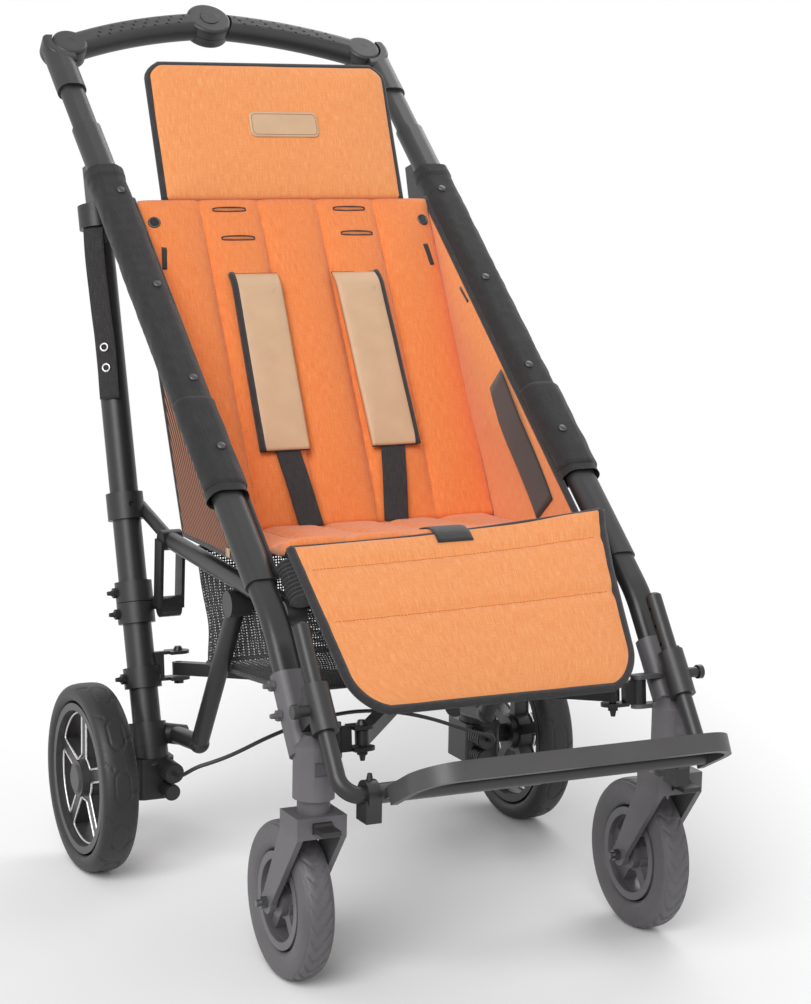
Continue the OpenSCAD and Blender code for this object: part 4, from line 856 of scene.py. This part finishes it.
for side, hand in hands:
    points, uvs = [], []
    rows, columns = panelSet["grid"]
    for inside in (1, 0):
        for i in range(rows):
            for j in range(columns):
                u, v = i / (rows - 1), j / (columns - 1)
                y, z = onPanel(u, v)
                x = panelSet["inner"] if inside else panelSet["outer"]
                points.append(at(side * (x - panelSlack(u, v) + ripple(y, z, 0.02, 0.5)), y, z))
                c, k = (1, 0) if inside else panelSet["stripeTurn"]
                uvs.append((c * (y / 1000) - k * (z / 1000), k * (y / 1000) + c * (z / 1000)))
    inFaces = gridFaces(rows, columns, 0, flip=side > 0)
    outFaces = gridFaces(rows, columns, rows * columns, flip=side < 0)
    picks = [0] * len(inFaces) + [1] * len(outFaces)
    panel = meshFrom(points, inFaces + outFaces, uvs, [orangeCloth, brownMesh], picks)
    body = f"{hand}_frame"
    panelPiece = newPiece(f"{hand}SidePanel", panel, body)
    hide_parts(f"{hand}_side_panel")
    rim = [(u / 40, 0) for u in range(41)] + [(1, v / 60) for v in range(1, 61)]
    rim += [(1 - u / 20, 1) for u in range(1, 21)] + [(0, 1 - v / 60) for v in range(1, 60)]
    rimPath = [at(side * panelSet["bindingX"], *onPanel(u, v)) for u, v in rim]
    rimMesh = tubeMesh(rimPath, panelSet["binding"], blackBinding, 8, True)
    newPiece(f"{hand}PanelBinding", rimMesh, body)
# hook tape and a slot on the left panel's inside, a leather tag under the right one
panelDetails = {
    "tape": [(0.30, 0.09), (0.216, 0.46)], "tapeSize": (0.05, 0.0018), "slot": [(0.09, 0.69), (0.13, 0.735)],
    "slotSize": (0.004, 0.0008), "tag": [(-209.6, -384, 436), (-209.6, -396, 436)], "tagSize": (0.011, 0.0012),
}
panelNormal = Vector((-1, 0, 0))


def panelLine(ends, count, off):
    path = []
    for i in range(count + 1):
        u, v = between(*ends, i / count)
        path.append(at(panelSet["inner"] - panelSlack(u, v) - off, *onPanel(u, v)))
    return path


tapeMesh = bandMesh(panelLine(panelDetails["tape"], 20, off=1.3), panelNormal, *panelDetails["tapeSize"], hookTape)
newPiece("panelHookTape", tapeMesh, "left_frame")
# the panel slot is drawn as a thin dark hook tape strip: painted shade inside the slot
slitMesh = bandMesh(panelLine(panelDetails["slot"], 6, off=0.8), panelNormal, *panelDetails["slotSize"], hookTape)
newPiece("panelSlot", slitMesh, "left_frame")
tagPath = [at(*place) for place in panelDetails["tag"]]
tagMesh = bandMesh(tagPath, panelNormal, *panelDetails["tagSize"], tanLeather)
newPiece("panelTag", tagMesh, "right_frame")
stageDone("side panels done")


# tube covers: black sleeves on the front tubes with wrinkles, snaps and a lapped lower flap
coverSet = {
    "foot": (-585, 392), "lean": 51.1, "x": 230, "start": 185, "end": 738, "size": (49, 32.4), "grid": (150, 48),
    "around": 0.018, "flap": (196, 332), "flapGrid": (40, 30), "snaps": (690, 521, 363, 250),
    "snapSize": (0.0055, 0.36),
}


def onCover(side, s, angle, grow):
    w, d = (size / 2 + grow for size in coverSet["size"])
    core = w - d
    c, k = cos(angle), sin(angle)
    across = d * c + (core if c > 0 else -core) * min(1, abs(c) * 6)
    return onSlope(coverSet["foot"], coverSet["lean"], side * coverSet["x"] + across, s, d * k)


def snapMesh(centre, radius, flat):
    bm = bmesh.new()
    bmesh.ops.create_uvsphere(bm, u_segments=24, v_segments=10, radius=radius)
    for vert in bm.verts:
        vert.co.z *= flat
    tilt = Matrix.Rotation(radians(90) - radians(coverSet["lean"]), 3, "X")
    bmesh.ops.rotate(bm, verts=bm.verts, cent=(0, 0, 0), matrix=tilt)
    bmesh.ops.translate(bm, verts=bm.verts, vec=centre)
    mesh = bpy.data.meshes.new("mesh")
    bm.to_mesh(mesh)
    bm.free()
    mesh.materials.append(snapMetal)
    for polygon in mesh.polygons:
        polygon.use_smooth = True
    return mesh


for side, hand in hands:
    cs = coverSet
    body = f"{hand}_frame"

    def coverPlace(i, j):
        rows, columns = cs["grid"]
        s = cs["start"] + (cs["end"] - cs["start"]) * i / (rows - 1)
        hem = 1.1 if min(i, rows - 1 - i) < 5 else 0
        angle = 2 * pi * j / columns
        crease = noiseOf(s * 0.03 + angle, angle * 1.3, side * 3.0)
        crease += 0.7 * noiseOf(s * 0.08, angle * 2.5, side * 5.0)
        return onCover(side, s, angle, -0.2 + 0.8 * crease + hem), (angle * cs["around"], s / 1000)

    def flapPlace(i, j):
        rows, columns = cs["flapGrid"]
        s = cs["flap"][0] + (cs["flap"][1] - cs["flap"][0]) * i / (rows - 1)
        angle = radians(-60 + 240 * j / (columns - 1))
        edge = i in (0, rows - 1) or j in (0, columns - 1)
        grow = 3.0 + noiseOf(s * 0.04, angle * 1.5, side * 7.0) - (1.6 if edge else 0)
        return onCover(side, s, angle, grow), (angle * cs["around"], s / 1000)

    coverMesh = gridMesh(*cs["grid"], coverPlace, blackCloth, wrapColumns=True)
    cover = newPiece(f"{hand}TubeCover", coverMesh, body)
    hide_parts(f"{hand}_tube_cover")
    newPiece(f"{hand}CoverFlap", gridMesh(*cs["flapGrid"], flapPlace, blackCloth), body)
    for k, s in enumerate(cs["snaps"]):
        lap = 3.4 if cs["flap"][0] < s < cs["flap"][1] else 0
        centre = onCover(side, s, radians(90), 0.8 + lap) - side * Vector((0.006, 0, 0))
        newPiece(f"{hand}Snap{k}", snapMesh(centre, *cs["snapSize"]), body)
stageDone("tube covers done")


# basket: a net tub hung under the seat, slack between its rails, with a bound rim
basketSet = {
    "half": 184.5, "inset": 1.5, "profile": [(-196, 404), (-240, 266), (-522, 296), (-566, 404)], "sag": 7,
    "corner": 26, "levels": 24, "rings": 16, "rim": 0.0045, "footLevel": 0.97, "foot": 0.0026,
}


def basketLoop(level):
    s = basketSet
    p = s["profile"]
    rear, front = between(p[0], p[1], level), between(p[3], p[2], level)
    middle, halfY = (rear[0] + front[0]) / 2, (rear[0] - front[0]) / 2
    halfX, r = s["half"] - s["inset"], s["corner"]
    arcs = []
    for q, (sx, sy) in enumerate(((1, 1), (-1, 1), (-1, -1), (1, -1))):
        turns = [radians(90 * q + 9 * k) for k in range(11)]
        arcs.append([(sx * (halfX - r) + r * cos(t), sy * (halfY - r) + r * sin(t)) for t in turns])
    loop = []
    for q in range(4):
        loop += arcs[q][:10]
        loop += [between(arcs[q][10], arcs[(q + 1) % 4][0], k / 30) for k in range(30)]
    placed = []
    for x, y in loop:
        slack = s["sag"] * sin(pi * level) * (0.6 + 0.7 * noiseOf(x * 0.012, y * 0.012, level * 2))
        inward = 1 - slack / halfX
        z = front[1] + (rear[1] - front[1]) * (y + halfY) / (2 * halfY)
        placed.append((x * inward, middle + y * inward, z))
    return placed


points, uvs = [], []
for i in range(basketSet["levels"] + 1):
    level = i / basketSet["levels"]
    walked, last = 0.0, None
    for x, y, z in basketLoop(level):
        walked += sqrt((x - last[0]) ** 2 + (y - last[1]) ** 2) if last else 0.0
        last = (x, y)
        points.append(at(x, y, z))
        uvs.append((walked / 1000, level * 0.14))
bottom = basketLoop(1)
around = len(bottom)
faces = gridFaces(basketSet["levels"] + 1, around, 0, wrapColumns=True, flip=True)
lowRear, lowFront = basketSet["profile"][1:3]
middle = (lowRear[0] + lowFront[0]) / 2
start = len(points) - around
for ring in range(1, basketSet["rings"]):
    k = 1 - ring / basketSet["rings"]
    begin = len(points)
    for x, y, z in bottom:
        px, py = x * k, (y - middle) * k + middle
        level = lowRear[1] + (lowFront[1] - lowRear[1]) * (py - lowRear[0]) / (lowFront[0] - lowRear[0])
        sag = min(0, -2.2 * (1 - k) + 2 * noiseOf(px * 0.02, py * 0.02, 2))
        points.append(at(px, py, level + sag + 0.8))
        uvs.append((px / 1000, py / 1000))
    for i in range(around):
        faces.append((start + i, begin + i, begin + (i + 1) % around, start + (i + 1) % around))
    start = begin
faces.append(tuple(range(start + around - 1, start - 1, -1)))
basketPiece = softPiece("netBasket", meshFrom(points, faces, uvs, [netCloth]), "basket")
for name, level, radius in (("basketRim", 0, "rim"), ("basketFootSeam", basketSet["footLevel"], "foot")):
    loop = [at(*place) for place in basketLoop(level)]
    loopMesh = tubeMesh(loop, basketSet[radius], blackBinding, 8, True)
    softPiece(name, loopMesh)
stageDone("basket done")


# fold strap: webbing down the right rear tube with two metal eyelets
strapSet = {
    "foot": (-230, -183, 148), "lean": 17, "low": 444, "high": 663, "out": 19.7, "turn": 52, "size": (0.026, 0.0025),
    "eyelets": (0.18, 0.3), "eyelet": 4.6, "wire": 0.0015, "loop": 17.5, "loopThick": 0.0014, "loopTall": 9.0,
}
strapLean, strapTurn = radians(strapSet["lean"]), radians(strapSet["turn"])


def onRear(up, out, back=0.0):
    f = strapSet["foot"]
    out, back = out * cos(strapTurn) - back * sin(strapTurn), -out * sin(strapTurn) - back * cos(strapTurn)
    y, z = f[1] + up * sin(strapLean) + back * cos(strapLean), f[2] + up * cos(strapLean) - back * sin(strapLean)
    return at(f[0] - out, y, z)


def strapUp(share):
    return strapSet["low"] + (strapSet["high"] - strapSet["low"]) * share


strapPath = []
for k in range(48):
    strapPath.append(onRear(strapUp(k / 47), strapSet["out"] + 0.5 * sin(k * 0.35), 1.2 * sin(k * 0.13)))
strapNormal = Vector((-cos(strapTurn), -sin(strapTurn), 0.25))
strapMesh = bandMesh(strapPath, strapNormal, *strapSet["size"], blackWebbing)
strap = newPiece("foldStrap", strapMesh, "right_frame")
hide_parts("fold_strap")
for k, share in enumerate(strapSet["eyelets"]):
    s = strapSet
    ring = [onRear(strapUp(share) + s["eyelet"] * sin(t), s["out"] + 1.7, s["eyelet"] * cos(t)) for t in turnsOf(28)]
    newPiece(f"strapEyelet{k}", tubeMesh(ring, s["wire"], eyeletSteel, 8, True), "right_frame")
loopOut, loopUp = strapSet["loop"], strapSet["high"] - 8
loopRing = [onRear(loopUp, loopOut * cos(t) + 0.6, loopOut * sin(t)) for t in turnsOf(40)]
upRing = Vector((0, sin(strapLean), cos(strapLean)))
loopMesh = tubeMesh(loopRing, strapSet["loopThick"], blackWebbing, 8, True, strapSet["loopTall"], upRing)
newPiece("strapLoop", loopMesh, "right_frame")


# brake cable: black sheathed cable between the two axle housings
cableSet = {"radius": 0.0025, "middle": (0, -293, 202), "half": [
    (217.5, -239.8, 130.5), (217.5, -246, 130.8), (217, -254, 132), (214.5, -262, 135.5), (210.5, -269, 140.5),
    (205.5, -274, 145), (198, -278, 149), (186, -282, 153), (170, -286, 158.5), (150, -288.5, 166),
    (120, -290.5, 178), (90, -292, 188), (60, -292.5, 195.5), (30, -293, 200.3)]}
cablePath = [at(-x, y, z) for x, y, z in cableSet["half"]] + [at(*cableSet["middle"])]
cablePath += [at(x, y, z) for x, y, z in reversed(cableSet["half"])]
finePath = []
for i in range(len(cablePath) - 1):
    p0, p1 = cablePath[max(i - 1, 0)], cablePath[i]
    p2, p3 = cablePath[i + 1], cablePath[min(i + 2, len(cablePath) - 1)]
    bend, twist = 2 * p0 - 5 * p1 + 4 * p2 - p3, 3 * p1 - p0 - 3 * p2 + p3
    for t in (0, 0.25, 0.5, 0.75):
        finePath.append(0.5 * (2 * p1 + (p2 - p0) * t + bend * t ** 2 + twist * t ** 3))
finePath.append(cablePath[-1])
cableMesh = tubeMesh(finePath, cableSet["radius"], cableSheath, 12)
cable = softPiece("brakeCable", cableMesh, "brake_cable")
stageDone("straps and cable done")


# tyres: rounded tread with grooves round and across
tyreSet = {
    "caster": {"rubber": tyreRubber, "across": 178, "wide": 38, "bore": 0.62, "centre": (224, -618, 89),
               "grid": (300, 84), "grooves": (-14, 14), "blocks": 30, "zone": (0, 12.5), "slant": 0.085,
               "gap": 0.17, "cut": 1.3},
    "rear": {"rubber": rearRubber, "across": 235, "wide": 45, "bore": 0.8, "centre": (301, -170, 117.5),
             "grid": (330, 96), "grooves": (), "blocks": 11, "zone": (9, 20), "slant": 0.012,
             "gap": 0.035, "cut": 1.1, "wave": (6.5, 3.5)},
}


# a groove of the tread along the line, by its half width
def groove(across, line, wide):
    return exp(-((across - line) / wide) ** 4)


def tyreMesh(side, s):
    outer, inner, half = s["across"] / 2, s["across"] / 2 * s["bore"], s["wide"] / 2
    mid, deep = (outer + inner) / 2, (outer - inner) / 2

    def tyrePlace(i, j):
        turn, a = 2 * pi * i / s["grid"][0], 2 * pi * j / s["grid"][1]
        across = half * signedPower(cos(a), 0.62)
        radius = mid + deep * signedPower(sin(a), 0.72)
        if sin(a) > 0.25:
            radius -= sum(s["cut"] * groove(across, line, 1.1) for line in s["grooves"])
            low, high = s["zone"]
            phase = (turn * s["blocks"] / (2 * pi) + (0.5 if across > 0 else 0) + s["slant"] * abs(across)) % 1
            if low <= abs(across) < high and phase < s["gap"]:
                radius -= s["cut"]
            if "wave" in s:
                line = s["wave"][0] + s["wave"][1] * max(-1, min(1, 2.2 * sin(turn * s["blocks"])))
                radius -= s["cut"] * max(groove(across, line, 0.9), groove(across, -line, 0.9))
        cx, cy, cz = s["centre"]
        place = at(side * cx + across, cy + radius * cos(turn), cz + radius * sin(turn))
        return place, (turn * outer / 1000, a * half / 1000)

    return gridMesh(*s["grid"], tyrePlace, s["rubber"], wrapRows=True, wrapColumns=True)


for side, hand in hands:
    piece = newPiece(f"{hand}CasterTyre", tyreMesh(side, tyreSet["caster"]), f"{hand}_caster")
    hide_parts(f"{hand}_caster_tyre")
    piece = newPiece(f"{hand}RearTyre", tyreMesh(side, tyreSet["rear"]), f"{hand}_wheel")
    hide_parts(f"{hand}_rear_tyre")


# bright lines round the rear wheels' windows
windowSet = {
    "outer": 83.3, "inner": 26, "spoke": 13, "web": 10, "proud": 0.2, "line": 0.0014, "inset": 1.6, "count": 5,
    "steps": 14,
}


def windowPath(side, turnBy, s):
    half = radians(180 / s["count"])
    apex = (s["spoke"] / 2 + s["inset"]) / sin(half)
    reach = []
    for radius in (s["inner"] + s["inset"], s["outer"] - s["inset"]):
        k = -apex * cos(half) + sqrt(max(0.0, radius ** 2 - (apex * sin(half)) ** 2))
        reach.append((apex + k * cos(half), k * sin(half)))
    (nearX, nearY), (farX, farY) = reach
    corners = [(nearX, nearY), (farX, farY), (farX, -farY), (nearX, -nearY)]
    outline = []
    for k in range(4):
        a, b = corners[k], corners[(k + 1) % 4]
        polar = [(sqrt(x * x + y * y), atan2(y, x)) for x, y in (a, b)]
        for i in range(s["steps"]):
            f = (i + 0.5) / s["steps"]
            radius, turn = between(*polar, f)
            outline.append((radius * cos(turn), radius * sin(turn)) if k % 2 else between(a, b, f))
    cx, cy, cz = tyreSet["rear"]["centre"]
    x = side * (cx + s["web"] + s["proud"])
    c, k = cos(turnBy), sin(turnBy)
    return [at(x, cy + px * k + py * c, cz - (px * c - py * k)) for px, py in outline]


for side, hand in hands:
    for k in range(windowSet["count"]):
        line = windowPath(side, radians(360 / windowSet["count"] * k), windowSet)
        lineMesh = tubeMesh(line, windowSet["line"], windowSilver, 6, True)
        newPiece(f"{hand}WindowLine{k}", lineMesh, f"{hand}_wheel")
stageDone("wheels done")


# stage: pale floor that keeps the shadow, white beyond, soft studio light
stageSet = {
    "floor": 6, "tone": 0.97, "fade": [(0.3, (0,) * 3), (0.75, (1,) * 3)], "fadeScale": 0.25, "fill": 0.52,
    "aim": (0, 0, 0.5), "lights": {
        "keySun": {"kind": "SUN", "place": (-1.8, -2.0, 2.5), "power": 2.1, "spread": 0.7},
        "rimPanel": {"kind": "AREA", "place": (1.6, 1.4, 2.4), "power": 22, "spread": 1.8},
    },
}


def makeFloor(s):
    mat, tree, shader = startMaterial("paleFloor", 0.9)
    setInputs(shader, {"Base Color": (*(s["tone"],) * 3, 1), "Specular IOR Level": 0.0})
    place = makeNode(tree, "ShaderNodeTexCoord")
    away = makeNode(tree, "ShaderNodeVectorMath", operation="LENGTH")
    link(place.outputs["Object"], away.inputs[0])
    glow = makeNode(tree, "ShaderNodeEmission")
    fade = ramp(maths("MULTIPLY", away.outputs["Value"], s["fadeScale"]), s["fade"])
    mixShaders(fade, shader, glow, "Material Output")
    corners = [(x * s["floor"], y * s["floor"], 0) for x, y in ((-1, -1), (1, -1), (1, 1), (-1, 1))]
    floor = bpy.data.objects.new("studioFloor", meshFrom(corners, [(0, 1, 2, 3)], [(0, 0)] * 4, [mat]))
    bpy.context.scene.collection.objects.link(floor)


# the camera and mirrors see plain white, the rest gets a softer fill
def makeWorld(s):
    world = bpy.data.worlds.new("studioWorld")
    bpy.context.scene.world = world
    world.use_nodes = True
    tree = world.node_tree
    back = tree.nodes["Background"]
    setInputs(back, {"Strength": s["fill"], "Color": (1, 1, 1, 1)})
    white = makeNode(tree, "ShaderNodeBackground")
    setInputs(white, {"Strength": 1.0, "Color": (1, 1, 1, 1)})
    path = makeNode(tree, "ShaderNodeLightPath")
    total = maths("ADD", path.outputs["Is Camera Ray"], path.outputs["Is Glossy Ray"])
    total = maths("ADD", total, path.outputs["Is Transmission Ray"])
    mixShaders(total, back, white, "World Output")


def makeLight(name, s, aim):
    data = bpy.data.lights.new(name, s["kind"])
    data.energy = s["power"]
    if s["kind"] == "SUN":
        data.angle = s["spread"]
    else:
        data.shape = "DISK"
        data.size = s["spread"]
    lamp = bpy.data.objects.new(name, data)
    lamp.location = s["place"]
    lamp.rotation_euler = (Vector(aim) - Vector(s["place"])).to_track_quat("-Z", "Y").to_euler()
    bpy.context.scene.collection.objects.link(lamp)


makeFloor(stageSet)
makeWorld(stageSet)
for name, light in stageSet["lights"].items():
    makeLight(name, light, stageSet["aim"])
bpy.context.scene.view_settings.view_transform = "Standard"
stageDone("stage set")
